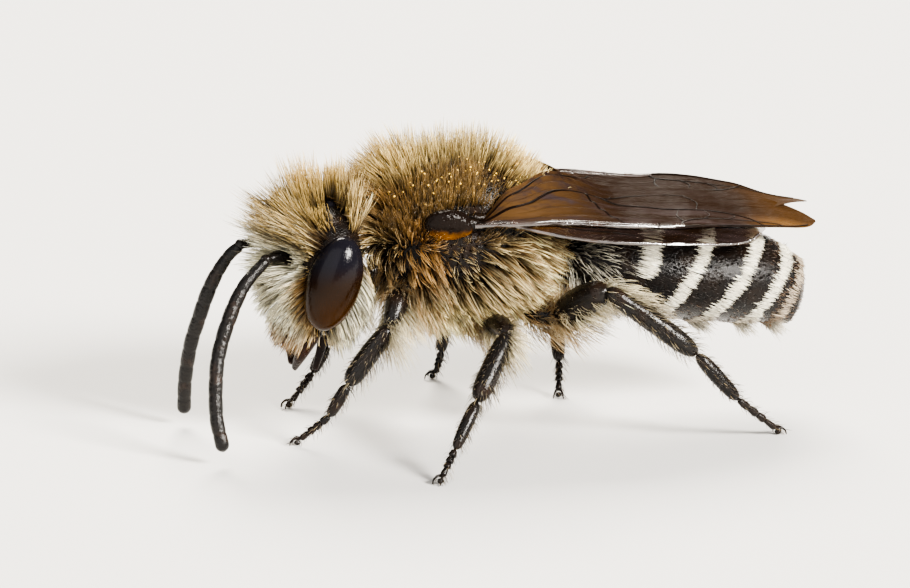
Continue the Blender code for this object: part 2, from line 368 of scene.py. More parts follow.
@dataclass(frozen=True)
class FeelerDown(Finish):
    """The whip of the antenna: black-brown, finely downy, with a faint shine."""

    name: str = "feeler_down"
    colour: Colour = (0.006, 0.005, 0.0045)
    worn: Colour = (0.022, 0.013, 0.009)

    def dress(self, shader: Shader) -> None:
        """Dresses the surface.

        Args:
            shader: The material under construction.
        """
        patches = shader.noise(3.2, 4.0)
        shader.set(
            Base_Color=shader.mix(patches.within(0.5, 0.75), self.colour, self.worn),
            Roughness=0.12 + 0.22 * shader.noise(7.0),
            Specular_IOR_Level=0.5,
            IOR=1.32,
        )
        shader.bump(shader.noise(24.0, 3.0), 0.016)


@dataclass(frozen=True)
class Membrane(Finish):
    """A wing's clear sheet: smoky, streaked along its length with a painted violet sheen that fades on the
    far wing, amber at its tip, brown at its root.
    """

    tip_x: float
    root_x: float
    smoky: Colour = (0.012, 0.006, 0.0032)
    # a painted sheen: violet-grey streaks that stand in for reflection on the wing
    painted_violet_sheen: Colour = (0.026, 0.0175, 0.0165)
    amber: Colour = (0.088, 0.04, 0.008)
    root: Colour = (0.058, 0.031, 0.0125)
    dense: float = 0.97
    clear: float = 0.88
    bend: float = 1.045

    def dress(self, shader: Shader) -> None:
        """Dresses the surface.

        Args:
            shader: The material under construction.
        """
        along = shader.axis("X")
        cloud = shader.noise(1.3, 2.0)
        times = {"operation": "MULTIPLY"}
        drawn = shader.node("VectorMath", settings=times, i0=shader.place(), i1=(0.3, 5.0, 5.0))
        streaks = shader.noise(1.0, 4.0, 0.6, drawn)
        over = shader.axis("Y").within(-0.12, 0.16)
        tip = (along + 0.5 * cloud + 0.3 * streaks).within(self.tip_x - 1.1, self.tip_x - 0.05)
        tip = tip * (1.0 - 0.72 * over)
        base = (along + 0.8 * streaks).within(self.root_x + 3.0, self.root_x + 0.8)
        # the violet streaks are a painted reflection, faded towards the far wing
        far = shader.axis("Y").within(-0.4, 0.3)
        body = shader.mix(streaks.within(0.4, 0.66) * (1.0 - 0.8 * far), self.smoky, self.painted_violet_sheen)
        body = shader.mix(base * streaks.within(0.68, 0.42), body, self.root)
        veil = self.dense - (self.dense - self.clear) * tip
        shader.set(
            Base_Color=shader.mix(tip, body, self.amber),
            Roughness=0.26 + 0.22 * streaks,
            Alpha=veil - 0.03 * cloud + 0.3 * base * (1.0 - self.dense),
            Specular_IOR_Level=0.5,
            IOR=self.bend,
        )
        shader.bump(streaks + 0.8 * shader.noise(2.2, 2.0), 0.05)


@dataclass(frozen=True)
class Amber(Finish):
    """Clear-brown shell over the wing base: dark on top and glowing orange along its lower rim."""

    name: str = "tegula_amber"
    split_z: float = 3.625
    dark: Colour = (0.006, 0.0035, 0.0025)
    glow: Colour = (0.21, 0.078, 0.009)

    def dress(self, shader: Shader) -> None:
        """Dresses the surface.

        Args:
            shader: The material under construction.
        """
        height = shader.axis("Z") + 0.3 * shader.noise(5.0)
        upper = height.within(self.split_z - 0.14, self.split_z + 0.1)
        shader.set(
            Base_Color=shader.mix(upper, self.glow, self.dark),
            Roughness=0.06 + 0.1 * shader.noise(8.0),
            IOR=1.2,
        )
        shader.bump(shader.noise(12.0), 0.03)


@dataclass(frozen=True)
class HairSheen(Finish):
    """Hair that carries its tint from root to tip, darkened at the root by painted shade, with a soft shine
    along it.
    """

    name: str = "hair_sheen"
    layer: str = "Tint"

    def dress(self, shader: Shader) -> None:
        """Takes the tint from the hair's own layer."""
        tint = shader.node("Attribute", "Color", {"attribute_name": self.layer})
        shader.set(Base_Color=tint, Roughness=0.36, Specular_IOR_Level=0.55)


@dataclass(frozen=True)
class PollenGold(Finish):
    """Dull golden dust."""

    name: str = "pollen_gold"
    colour: Colour = (0.78, 0.48, 0.08)

    def dress(self, shader: Shader) -> None:
        """Lightens the dust here and there."""
        pale = tuple(min(1.0, 1.25 * part) for part in self.colour)
        shader.set(Base_Color=shader.mix(shader.noise(6.0), self.colour, pale), Roughness=0.5)


@dataclass(frozen=True)
class Paper(Finish):
    """The plain pale floor."""

    name: str = "floor_paper"
    colour: Colour = (0.6, 0.59, 0.575)

    def dress(self, shader: Shader) -> None:
        """Greys the paper a little here and there."""
        shade = tuple(0.97 * part for part in self.colour)
        shader.set(Base_Color=shader.mix(shader.noise(0.02), self.colour, shade), Roughness=0.85)


# ---------------------------------------------------------------- modelling


class Slot(Enum):
    """The record's material slots, named for each piece; no piece's finish is taken from them."""

    FUR = "fur"
    SHELL = "shell"
    EYE = "eye"
    FEELER = "feeler"
    MOUTH = "mouth"
    WING = "wing"


@dataclass
class Bench:
    """The workbench: makes pieces in millimetres and carries them to the part's frame when done."""

    thorax_front: float = -2.58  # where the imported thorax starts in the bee's own frame
    shift: Vector = field(default_factory=Vector)

    def __post_init__(self) -> None:
        """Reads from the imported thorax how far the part's frame lies from the bee's own."""
        low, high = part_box("thorax")
        self.shift = Vector((low.x * TO_MM - self.thorax_front, (low.y + high.y) / 2 * TO_MM, 0.0))

    @staticmethod
    def clear() -> None:
        """Leaves nothing selected."""
        if bpy.context.object and bpy.context.object.mode != "OBJECT":
            bpy.ops.object.mode_set(mode="OBJECT")
        bpy.ops.object.select_all(action="DESELECT")

    def pick(self, piece: Piece) -> None:
        """Makes one piece the only selected and the active one.

        Args:
            piece: The piece.
        """
        self.clear()
        piece.select_set(True)
        bpy.context.view_layer.objects.active = piece

    def ball(
        self,
        name: str,
        centre: Row,
        reach: Row,
        turn: Matrix | None = None,
        fineness: int = 48,
    ) -> Piece:
        """A rounded mass from a sphere.

        Args:
            name: The piece's name.
            centre: Its middle.
            reach: Its half sizes along its own axes.
            turn: How it is turned.
            fineness: How many segments go round it.

        Returns:
            The new piece.
        """
        self.clear()
        bpy.ops.mesh.primitive_uv_sphere_add(segments=fineness, ring_count=fineness * 2 // 3, radius=1.0)
        piece = bpy.context.object
        piece.name = name
        placed = Matrix.Translation(centre) @ (turn or Matrix.Identity(4))
        piece.matrix_world = placed @ Matrix.Diagonal((*reach, 1.0))
        bpy.ops.object.transform_apply(location=True, rotation=True, scale=True)
        return piece

    def tube(self, name: str, points: Numbers, radii: Row, sides: int) -> Piece:
        """A tapering tube along points, from a bevelled curve with filled caps.

        Args:
            name: The piece's name.
            points: The places along its middle.
            radii: Its radius at each place.
            sides: How many sides go round it, four or more.

        Returns:
            The new piece.
        """
        self.clear()
        curve = bpy.data.curves.new(name, "CURVE")
        curve.dimensions = "3D"
        curve.bevel_depth = 1.0
        curve.bevel_resolution = max(sides // 4 - 1, 0)
        curve.use_fill_caps = True
        spline = curve.splines.new("POLY")
        spline.points.add(len(points) - 1)
        for mark, place, radius in zip(spline.points, points, radii):
            mark.co = (*place, 1.0)
            mark.radius = radius
        piece = bpy.data.objects.new(name, curve)
        bpy.context.scene.collection.objects.link(piece)
        self.pick(piece)
        bpy.ops.object.convert(target="MESH")
        return self.seal(bpy.context.object)

    def seal(self, piece: Piece, closer_than: float = 1e-4) -> Piece:
        """Merges doubled points and turns every face outward.

        Args:
            piece: The piece to close.
            closer_than: How near two points are merged.

        Returns:
            The same piece.
        """
        self.pick(piece)
        bpy.ops.object.mode_set(mode="EDIT")
        bpy.ops.mesh.select_all(action="SELECT")
        bpy.ops.mesh.remove_doubles(threshold=closer_than)
        bpy.ops.mesh.normals_make_consistent(inside=False)
        bpy.ops.object.mode_set(mode="OBJECT")
        return piece

    def pull(self, piece: Piece, near: Row, move: Row, reach: float) -> None:
        """Draws out the skin round a place, as with a soft grab.

        Args:
            piece: The piece to shape.
            near: The place whose closest point is taken hold of.
            move: How far that point goes.
            reach: How far round it the skin follows.
        """
        self.pick(piece)
        target = Vector(near)
        closest = min(piece.data.vertices, key=lambda vert: (vert.co - target).length_squared).index
        bpy.ops.object.mode_set(mode="EDIT")
        bpy.ops.mesh.select_all(action="DESELECT")
        bpy.ops.object.mode_set(mode="OBJECT")
        piece.data.vertices[closest].select = True
        bpy.ops.object.mode_set(mode="EDIT")
        bpy.ops.transform.translate(
            value=move,
            use_proportional_edit=True,
            proportional_edit_falloff="SMOOTH",
            proportional_size=reach,
        )
        bpy.ops.object.mode_set(mode="OBJECT")

    def join(self, name: str, pieces: Sequence[Piece]) -> Piece:
        """Joins pieces into one.

        Args:
            name: The joined piece's name.
            pieces: What goes into it.

        Returns:
            The joined piece.
        """
        self.pick(pieces[0])
        for piece in pieces[1:]:
            piece.select_set(True)
        bpy.ops.object.join()
        whole = bpy.context.object
        whole.name = name
        return whole

    def soften(self, piece: Piece) -> Piece:
        """Subdivides a piece once, smoothly, and applies it.

        Args:
            piece: The piece to smooth.

        Returns:
            The same piece.
        """
        self.pick(piece)
        modifier = piece.modifiers.new("soften", "SUBSURF")
        modifier.levels = modifier.render_levels = 1
        bpy.ops.object.modifier_apply(modifier=modifier.name)
        return piece

    def fine(
        self,
        piece: Piece,
        material: Material,
        slot: Slot,
        nodes: Sequence[str] = (),
        sharp: float = 50.0,
    ) -> None:
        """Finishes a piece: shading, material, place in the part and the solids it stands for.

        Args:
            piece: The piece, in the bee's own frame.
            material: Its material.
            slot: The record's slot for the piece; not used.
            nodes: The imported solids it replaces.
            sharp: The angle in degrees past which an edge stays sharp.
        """
        self.pick(piece)
        piece.matrix_world = Matrix.Scale(METRES, 4) @ Matrix.Translation(self.shift)
        bpy.ops.object.transform_apply(location=True, rotation=True, scale=True)
        if sharp < SHADE_ALL:
            bpy.ops.object.shade_smooth_by_angle(angle=math.radians(sharp))
        piece.data.materials.clear()
        piece.data.materials.append(material)
        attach(piece, BODY)
        if nodes:
            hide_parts(*nodes)
        self.clear()


def sculpt(piece: Piece, rule: Callable[[Numbers], Numbers]) -> None:
    """Moves every point of a piece by a rule.

    Args:
        piece: The piece to shape.
        rule: Takes the places of all points and returns where they go.
    """
    flat = np.empty(len(piece.data.vertices) * 3)
    piece.data.vertices.foreach_get("co", flat)
    piece.data.vertices.foreach_set("co", np.ascontiguousarray(rule(flat.reshape(-1, 3))).ravel())
    piece.data.update()


# ---------------------------------------------------------------- hair


@dataclass
class Skin:
    """A read-out of a piece's surface that hairs can be rooted on, in the bee's own frame."""

    corners: Numbers  # three places for each triangle
    lean: Numbers  # the outward direction at each of them
    area: Numbers  # each triangle's share of the whole surface

    @classmethod
    def of(cls, piece: Piece) -> "Skin":
        """Reads a piece before it is finished.

        Edit tools may leave the same faces in another order at each run. So each face is cut into a fan
        from its lowest-numbered point, and the fans are sorted: hairs then stand at the same places.

        Args:
            piece: The piece, in the bee's own frame.

        Returns:
            The read-out.
        """
        mesh = piece.data
        places = np.empty(len(mesh.vertices) * 3)
        mesh.vertices.foreach_get("co", places)
        normals = np.empty(len(mesh.vertices) * 3)
        mesh.vertices.foreach_get("normal", normals)
        fans = []
        for face in mesh.polygons:
            ring = list(face.vertices)
            start = ring.index(min(ring))
            first, *others = ring[start:] + ring[:start]
            fans += [(first, *pair) for pair in zip(others, others[1:])]
        triangles = np.array(sorted(fans))
        corners = places.reshape(-1, 3)[triangles]
        one, other = corners[:, 1] - corners[:, 0], corners[:, 2] - corners[:, 0]
        area = np.linalg.norm(np.cross(one, other), axis=1)
        return cls(corners, normals.reshape(-1, 3)[triangles], area / area.sum())

    def scatter(self, dice: Dice, count: int) -> tuple[Numbers, Numbers]:
        """Random places spread evenly over the surface.

        Args:
            dice: The source of chance.
            count: How many places.

        Returns:
            The places, and the outward direction at each.
        """
        chosen = dice.choice(len(self.area), size=count, p=self.area)
        a, b = dice.random((2, count, 1))
        fold = a + b > 1.0
        a, b = np.where(fold, 1.0 - a, a), np.where(fold, 1.0 - b, b)
        weights = np.stack([1.0 - a - b, a, b], axis=1)
        outs = unit((self.lean[chosen] * weights).sum(axis=1))
        return (self.corners[chosen] * weights).sum(axis=1), outs


@dataclass
class Lie:
    """What a coat does at each root: all fields have one row for each hair."""

    density: Numbers  # chance from 0 to 1 that a hair stands here
    length: Numbers  # millimetres
    rise: Numbers  # direction in which the hair leaves the skin
    sweep: Numbers  # direction in which its outer half goes
    # the root's colour, darkened as painted shade down in the coat
    root_tint_and_shade: Numbers
    tip_tint: Numbers
    lock: Numbers  # how far a hair is drawn to its lock, from 0 to 1
    girth: Numbers  # how thick a hair is, as a share of the coat's thickness


@dataclass
class Coat:
    """Hair grown from a skin as closed, tapered, three-sided spines, gathered into locks."""

    name: str
    skin: Skin
    rule: Callable[[Numbers, Numbers, Dice], Lie]
    chart: Callable[[Numbers], Numbers]  # the root's place on an unwrap of the skin
    count: int
    seed: int
    thickness: float = 0.0082
    rings: tuple[float, ...] = (0.0, 0.3, 0.58, 0.82)  # how far along a hair its rings lie
    locks: int = 1500
    lock_seed: int = 1  # coats that grow from one skin share their locks
    stray: float = 0.14  # how far a hair strays from its neighbours' direction
    sunk: float = 0.02
    patch: float = 0.003  # a hair's place on the map
    tone: float = 0.16  # how much the hairs differ in lightness
    lock_tone: float = 0.22  # how much the locks do
    depth: float = 1.4  # how far up a hair its root's tint, darkened as painted shade down in the coat, reaches
    tries: int = 7  # places looked at for each hair
    batch: int = 2000  # hairs matched to their locks at a time

    def roots(self, dice: Dice, count: int) -> tuple[Numbers, Numbers, Lie]:
        """Picks where hairs stand, by the rule's density.

        Args:
            dice: The source of chance.
            count: How many hairs.

        Returns:
            The roots, the outward direction at each, and what each hair does.
        """
        places, outs = self.skin.scatter(dice, count * self.tries)
        lie = self.rule(places, outs, dice)
        kept = np.flatnonzero(dice.random(len(places)) < lie.density)[:count]
        if len(kept) < count:
            LOG.info("%s: only %d of %d hairs found room", self.name, len(kept), count)
        return places[kept], outs[kept], Lie(*(np.asarray(part)[kept] for part in vars(lie).values()))

    def spines(self, dice: Dice, places: Numbers, outs: Numbers, lie: Lie) -> Numbers:
        """The middle line of each hair at its rings and its tip.

        Args:
            dice: The source of chance.
            places: The roots.
            outs: The outward direction at each root.
            lie: What each hair does.

        Returns:
            For each hair, a row of places from root to tip.
        """
        number = len(places)
        length = (lie.length * (1.0 + 0.22 * dice.standard_normal(number)).clip(0.45, 1.5))[:, None]
        rise = unit(lie.rise + self.stray * dice.standard_normal((number, 3)))
        sweep = unit(lie.sweep + 1.5 * self.stray * dice.standard_normal((number, 3)))
        start = places - outs * self.sunk
        bend = start + rise * length * 0.5
        tip = bend + sweep * length * 0.5
        shares = self.shares[None, :, None]
        middle = 2 * bend[:, None] * shares * (1 - shares)
        return start[:, None] * (1 - shares) ** 2 + middle + tip[:, None] * shares**2

    @property
    def shares(self) -> Numbers:
        """How far along a hair its rings and its tip lie."""
        return np.array([*self.rings, 1.0])

    def gather(self, dice: Dice, places: Numbers, line: Numbers, lock: Numbers) -> tuple[Numbers, Numbers]:
        """Draws each hair towards the guide hair of its lock, most at its tip.

        Args:
            dice: The source of chance.
            places: The roots.
            line: The hairs' middle lines.
            lock: How far each hair is drawn, from 0 to 1.

        Returns:
            The gathered middle lines, and the tone of each hair's lock.
        """
        chance = np.random.default_rng(self.lock_seed)
        homes, outs, lie = self.roots(chance, self.locks)
        guides = self.spines(chance, homes, outs, lie)
        tones = 1.0 + self.lock_tone * chance.standard_normal(len(homes))
        nearest = np.empty(len(places), dtype=np.int64)
        for first in range(0, len(places), self.batch):
            these = slice(first, first + self.batch)
            nearest[these] = ((places[these, None] - homes[None]) ** 2).sum(axis=2).argmin(axis=1)
        held = (lock * (0.4 + 0.6 * dice.random(len(places))))[:, None, None]
        held = held * (0.15 + 0.85 * self.shares[None, :, None] ** 1.3)
        return line + held * (guides[nearest] - line), tones[nearest]

    def grow(self, bench: Bench, material: Material) -> None:
        """Makes the coat as one piece.

        Args:
            bench: Where it is made.
            material: The hair's material.
        """
        dice = np.random.default_rng(self.seed)
        places, outs, lie = self.roots(dice, self.count)
        line, lock_tone = self.gather(dice, places, self.spines(dice, places, outs, lie), lie.lock)
        number, steps = len(places), len(self.rings)
        along = unit(np.gradient(line, axis=1))
        across = unit(dice.standard_normal((number, 1, 3)) + 0 * along)
        across = unit(across - (across * along).sum(axis=2, keepdims=True) * along)
        beside = np.cross(along, across)
        width = self.thickness * lie.girth[:, None, None] * (0.6 + 0.7 * dice.random((number, 1, 1)))
        taper = 1.0 - 0.65 * np.array(self.rings)[None, :, None] ** 1.5
        rim = []
        for corner in range(3):
            angle = 2 * math.pi * corner / 3
            turned = math.cos(angle) * across[:, :steps] + math.sin(angle) * beside[:, :steps]
            rim.append(line[:, :steps] + turned * width * taper)
        rims = np.stack(rim, axis=2).reshape(number, steps * 3, 3)
        points = np.concatenate([rims, line[:, -1:]], axis=1)
        share = np.repeat(self.shares, [3] * steps + [1])[None, :, None] ** self.depth
        tone = lock_tone[:, None, None] * (1.0 + self.tone * dice.standard_normal((number, 1, 1)))
        # the dark root end of each hair is painted shade down in the coat, over the hair's own colour
        tint = (lie.root_tint_and_shade[:, None] * (1 - share) + lie.tip_tint[:, None] * share) * tone.clip(0.4, 1.7)
        piece = self._mesh(points, tint.clip(0.0, 1.0), self.chart(places))
        bench.fine(piece, material, Slot.FUR, sharp=SHADE_ALL)
        LOG.info("%s grown", self.name)

    def _template(self) -> tuple[list[tuple[int, ...]], list[Marks]]:
        """The faces of one hair.

        Returns:
            The faces, and each face corner's place in the hair's patch of the map.
        """
        faces, spots = [], []
        steps = len(self.rings)
        levels = [*self.rings, 1.0]
        for ring in range(steps - 1):
            for side in range(3):
                other = (side + 1) % 3
                above = 3 * ring + 3
                faces.append((3 * ring + side, 3 * ring + other, above + other, above + side))
                (left, right), (low, high) = (side / 3, (side + 1) / 3), levels[ring : ring + 2]
                spots.append(((left, low), (right, low), (right, high), (left, high)))
        last = 3 * (steps - 1)
        for side in range(3):
            faces.append((last + side, last + (side + 1) % 3, 3 * steps))
            spots.append(((side / 3, levels[-2]), ((side + 1) / 3, levels[-2]), ((side + 0.5) / 3, 1.0)))
        faces.append((2, 1, 0))
        spots.append(((0.7, -0.12), (0.3, -0.12), (0.5, -0.02)))
        return faces, spots

    def _mesh(self, points: Numbers, tint: Numbers, chart: Numbers) -> Piece:
        """Builds the joined mesh of all hairs with its tint and its map.

        Args:
            points: For each hair, its places.
            tint: For each hair, the colour at each place.
            chart: Each root's place on the unwrap of the skin.

        Returns:
            The new piece.
        """
        number, each = points.shape[:2]
        faces, spots = self._template()
        sizes = np.array([len(face) for face in faces])
        corners = np.concatenate([np.array(face) for face in faces])
        indices = (np.arange(number)[:, None] * each + corners[None]).ravel()
        mesh = bpy.data.meshes.new(self.name)
        mesh.vertices.add(number * each)
        mesh.vertices.foreach_set("co", points.reshape(-1))
        mesh.loops.add(len(indices))
        mesh.loops.foreach_set("vertex_index", indices.astype(np.int32))
        mesh.polygons.add(number * len(faces))
        totals = np.tile(sizes, number)
        starts = np.concatenate([[0], np.cumsum(totals)[:-1]])
        mesh.polygons.foreach_set("loop_start", starts.astype(np.int32))
        mesh.polygons.foreach_set("use_smooth", np.ones(number * len(faces), dtype=bool))
        layer = mesh.uv_layers.new(name="OFBake")
        spot = np.array([place for face in spots for place in face])
        home = chart.clip(self.patch, 1.0 - 2 * self.patch)
        layer.data.foreach_set("uv", (home[:, None] + self.patch * spot[None]).ravel())
        tints = mesh.attributes.new("Tint", "FLOAT_COLOR", "POINT")
        solid = np.concatenate([tint.reshape(-1, 3), np.ones((number * each, 1))], axis=1)
        tints.data.foreach_set("color", solid.ravel())
        mesh.update(calc_edges=True)
        mesh.validate()
        piece = bpy.data.objects.new(self.name, mesh)
        bpy.context.scene.collection.objects.link(piece)
        return piece


def round_chart(centre: Row, places: Numbers) -> Numbers:
    """Unwraps a rounded body: the turn about its upright axis, and an even-area height.

    Args:
        centre: The body's middle.
        places: Places on the body.

    Returns:
        Two shares for each place.
    """
    away = unit(places - np.array(centre))
    turn = np.arctan2(away[:, 1], away[:, 0]) / (2 * math.pi) + 0.5
    return np.stack([turn, 0.5 + 0.5 * away[:, 2]], axis=1)


# ---------------------------------------------------------------- the bee


UP = np.array([0.0, 0.0, 1.0])
TAILWARD = np.array([1.0, 0.0, 0.0])


@dataclass
class Thorax:
    """The middle of the body: a high dome with a deep furred coat."""

    centre: tuple[float, float, float] = (-0.82, 0.0, 3.16)
    ahead: float = 1.42
    behind: float = 1.38
    half_width: float = 1.06
    above: float = 1.26
    below: float = 1.2
    squareness: float = 2.25
    bare_patch: tuple[float, float] = (-0.98, 3.12)  # its middle along X and Z
    bare_reach: float = 0.34
    wing_root: tuple[float, float, float] = (-0.85, 1.12, 3.6)
    wing_root_reach: tuple[float, float, float] = (0.46, 0.5, 0.22)
    notch: tuple[float, float, float] = (-1.88, 0.62, 3.8)  # the dark gap behind the head
    blaze: tuple[float, float] = (-1.55, 3.06)  # the orange tuft behind the cheek, along X and Z
    coats: int = 3
    coat_hairs: int = 7400
    pale: Colour = (0.92, 0.71, 0.29)
    cream: Colour = (0.98, 0.84, 0.47)
    tan: Colour = (0.23, 0.13, 0.04)
    # umber darkens the roots of the coat: painted shade down among the hairs
    umber: Colour = (0.022, 0.011, 0.004)
    orange: Colour = (0.33, 0.155, 0.035)

    def mass(self, bench: Bench) -> Piece:
        """Shapes the skin: dome, neck collar, shield and the bulging sides.

        Args:
            bench: Where it is made.

        Returns:
            The new piece.
        """
        piece = bench.ball("thorax_skin", (0, 0, 0), (1, 1, 1), fineness=72)

        def swell(places: Numbers) -> Numbers:
            """Carries the unit ball to the thorax's own reach.

            Args:
                places: Places on the ball.

            Returns:
                Where they go.
            """
            size = (np.abs(places) ** self.squareness).sum(axis=1, keepdims=True) ** (1 / self.squareness)
            reach = np.stack(
                [
                    np.where(places[:, 0] < 0, self.ahead, self.behind),
                    np.full(len(places), self.half_width),
                    np.where(places[:, 2] < 0, self.below, self.above),
                ],
                axis=1,
            )
            out = places / size * reach
            out[:, 0] -= 0.24 * smooth(0.2, 1.2, out[:, 0]) * smooth(0.15, 0.85, out[:, 2])
            return np.array(self.centre) + out

        sculpt(piece, swell)
        bench.pull(piece, (0.2, 0.0, 3.95), (0.06, 0.0, 0.08), 0.4)  # the shield behind the dome
        bench.pull(piece, (-1.8, 0.0, 4.05), (-0.08, 0.0, 0.16), 0.7)  # the dome's steep front
        bench.pull(piece, (-2.15, 0.0, 3.6), (-0.08, 0.0, 0.0), 0.6)  # the collar
        for side in (-1.0, 1.0):
            bench.pull(piece, (-0.9, side * 1.05, 2.85), (0.0, side * 0.06, 0.0), 0.6)  # the breast plates
            bench.pull(piece, (-0.8, side * 0.95, 3.62), (0.0, -side * 0.07, 0.0), 0.35)  # under the wing
        return piece

    def lie(self, places: Numbers, outs: Numbers, dice: Dice) -> Lie:
        """How the coat stands over the thorax.

        Args:
            places: The roots.
            outs: The outward direction at each root.
            dice: The source of chance.

        Returns:
            What each hair does.
        """
        x = (places[:, 0] - self.centre[0]) / self.ahead
        z = (places[:, 2] - self.centre[2]) / self.above
        y = places[:, 1]
        wide = np.abs(y)
        mirrored = np.stack([places[:, 0], wide, places[:, 2]], axis=1)
        # the regions of the coat
        top, low = smooth(0.22, 0.62, z), smooth(-0.5, -0.8, z)
        front, rear = smooth(-0.42, -0.8, x), smooth(0.3, 0.7, x)
        collar = front * smooth(0.0, 0.35, z)
        flat = np.hypot(places[:, 0] - self.bare_patch[0], (places[:, 2] - self.bare_patch[1]) * 0.85)
        root = np.linalg.norm((mirrored - self.wing_root) / self.wing_root_reach, axis=1)
        behind_root = smooth(-0.75, -0.45, places[:, 0])
        blaze = np.hypot(places[:, 0] - self.blaze[0], (places[:, 2] - self.blaze[1]) * 0.75)
        velvet = smooth(-0.1, 0.18, z) * smooth(0.34, 0.6, wide)
        disc = top * (1 - front) * (1 - rear)
        flank = (1.0 - top) * (1.0 - low)
        crest = collar * smooth(0.4, 0.8, z)
        throat = front * smooth(0.05, -0.2, z)
        neck = front * smooth(-0.2, 0.2, z)
        bare = smooth(self.bare_reach * 1.35, self.bare_reach * 0.8, flat) * (wide > 0.5)
        hinge = smooth(1.2, 0.85, root)
        under_wing = behind_root * smooth(0.35, 0.55, wide) * smooth(3.1, 3.35, places[:, 2])
        beside_wing = rear * smooth(0.3, 0.6, wide) * smooth(-0.1, 0.2, z)
        notch = smooth(0.34, 0.16, np.linalg.norm(mirrored - self.notch, axis=1))
        velvet = velvet * (1 - rear) * smooth(-2.3, -2.05, places[:, 0])
        fiery = smooth(0.44, 0.16, blaze) * (wide > 0.4)
        # how thick it stands and how long it is
        density = 0.4 + 0.35 * np.maximum(collar, rear) + 0.1 * low
        density = density - 0.18 * flank - 0.14 * disc
        density = density * (1.0 - velvet) + 0.95 * velvet
        density = density * (1 - 0.45 * notch) * (1 - 0.45 * bare) * (1 - 0.97 * hinge)
        density = density * (1 - 0.75 * under_wing) * (1 - 0.35 * throat)
        length = 0.47 + 0.17 * collar + 0.03 * disc + 0.1 * low
        length = length + 0.12 * flank - 0.22 * throat
        length = length * (1 - 0.5 * under_wing) * (1 - 0.45 * velvet) * (1 - 0.74 * bare)
        length = length * (1 - 0.25 * beside_wing)
        # which way it goes: up in a swirl on the dome, back and down on the sides
        side = np.sign(y)[:, None] * np.array([0.0, 1.0, 0.0])
        swirl = np.stack([0.3 * x, 0.14 * np.sin(3.1 * places[:, 0] + 2.0 * y), 0.25 + 0 * x], axis=1)
        hang = unit(0.42 * outs + 0.62 * TAILWARD - 0.62 * UP + 0.06 * side)
        slant = 0.15 * rear[:, None] * TAILWARD
        stand = unit(0.8 * outs + 0.75 * UP + 0.7 * swirl - 0.55 * front[:, None] * TAILWARD + slant)
        down = np.maximum(low, 0.92 * flank * (1 - 0.7 * neck))
        rise = unit(outs + 0.35 * swirl + 0.35 * down[:, None] * hang + 0.8 * velvet[:, None] * UP)
        sweep = unit(blend(stand, hang, down) + 0.6 * under_wing[:, None] * (TAILWARD - 0.5 * outs))
        sweep = blend(sweep, unit(0.4 * outs + UP + 0.15 * TAILWARD), 0.75 * velvet)
        # its colours: pale tips over umber roots, the umber painted shade down in the coat, tan beside the
        # wings, orange behind the cheeks
        pale, cream, tan, umber, orange = np.array((self.pale, self.cream, self.tan, self.umber, self.orange))
        roots = blend(umber, tan, 0.04 + 0.45 * np.maximum(crest, rear) + 0.06 * low)
        light = 0.82 * disc + 0.95 * crest + 0.6 * rear + 0.5 * flank + low
        light = np.clip(light - 0.4 * throat - 0.3 * collar, 0, 1)
        dark = 0.1 * disc + 0.36 * flank + 0.12 * collar + 0.2 * rear + 0.1 * low
        dark_hair = dice.random(len(x)) < dark
        tips = blend(tan, blend(pale, cream, np.maximum(flank, low)), light * (1 - 0.85 * dark_hair))
        roots = blend(roots, tan * 0.5, velvet)
        tips = blend(tips, tan * (0.24 + 0.66 * dice.random((len(x), 1))), 0.92 * velvet)
        roots, tips = blend(roots, orange * 0.5, 0.7 * fiery), blend(tips, orange, 0.62 * fiery)
        lock = (0.25 + 0.6 * flank + 0.6 * low + 0.25 * front).clip(0.0, 0.95)
        lock = lock * (1 - 0.4 * velvet)
        girth = 1.0 - 0.3 * disc * (1 - velvet) - 0.15 * collar - 0.34 * velvet
        girth = girth + 0.15 * np.maximum(flank, low) * (1 - velvet) - 0.35 * bare
        return Lie(density, length, rise, sweep, roots, tips, lock, girth)

    def build(self, bench: Bench, shell: Material, hair: Material) -> Skin:
        """Makes the thorax skin and its coat.

        Args:
            bench: Where they are made.
            shell: The skin's finish.
            hair: The coat's finish.

        Returns:
            The read-out of the skin.
        """
        piece = self.mass(bench)
        skin = Skin.of(piece)
        bench.fine(piece, shell, Slot.SHELL, ["thorax"], sharp=SHADE_ALL)
        chart = partial(round_chart, self.centre)
        for number in range(self.coats):
            Coat(
                f"thorax_coat_{number + 1}", skin, self.lie, chart, self.coat_hairs,
                seed=11 + number, locks=2000, stray=0.1, lock_tone=0.28, depth=1.6,
            ).grow(bench, hair)
        return skin


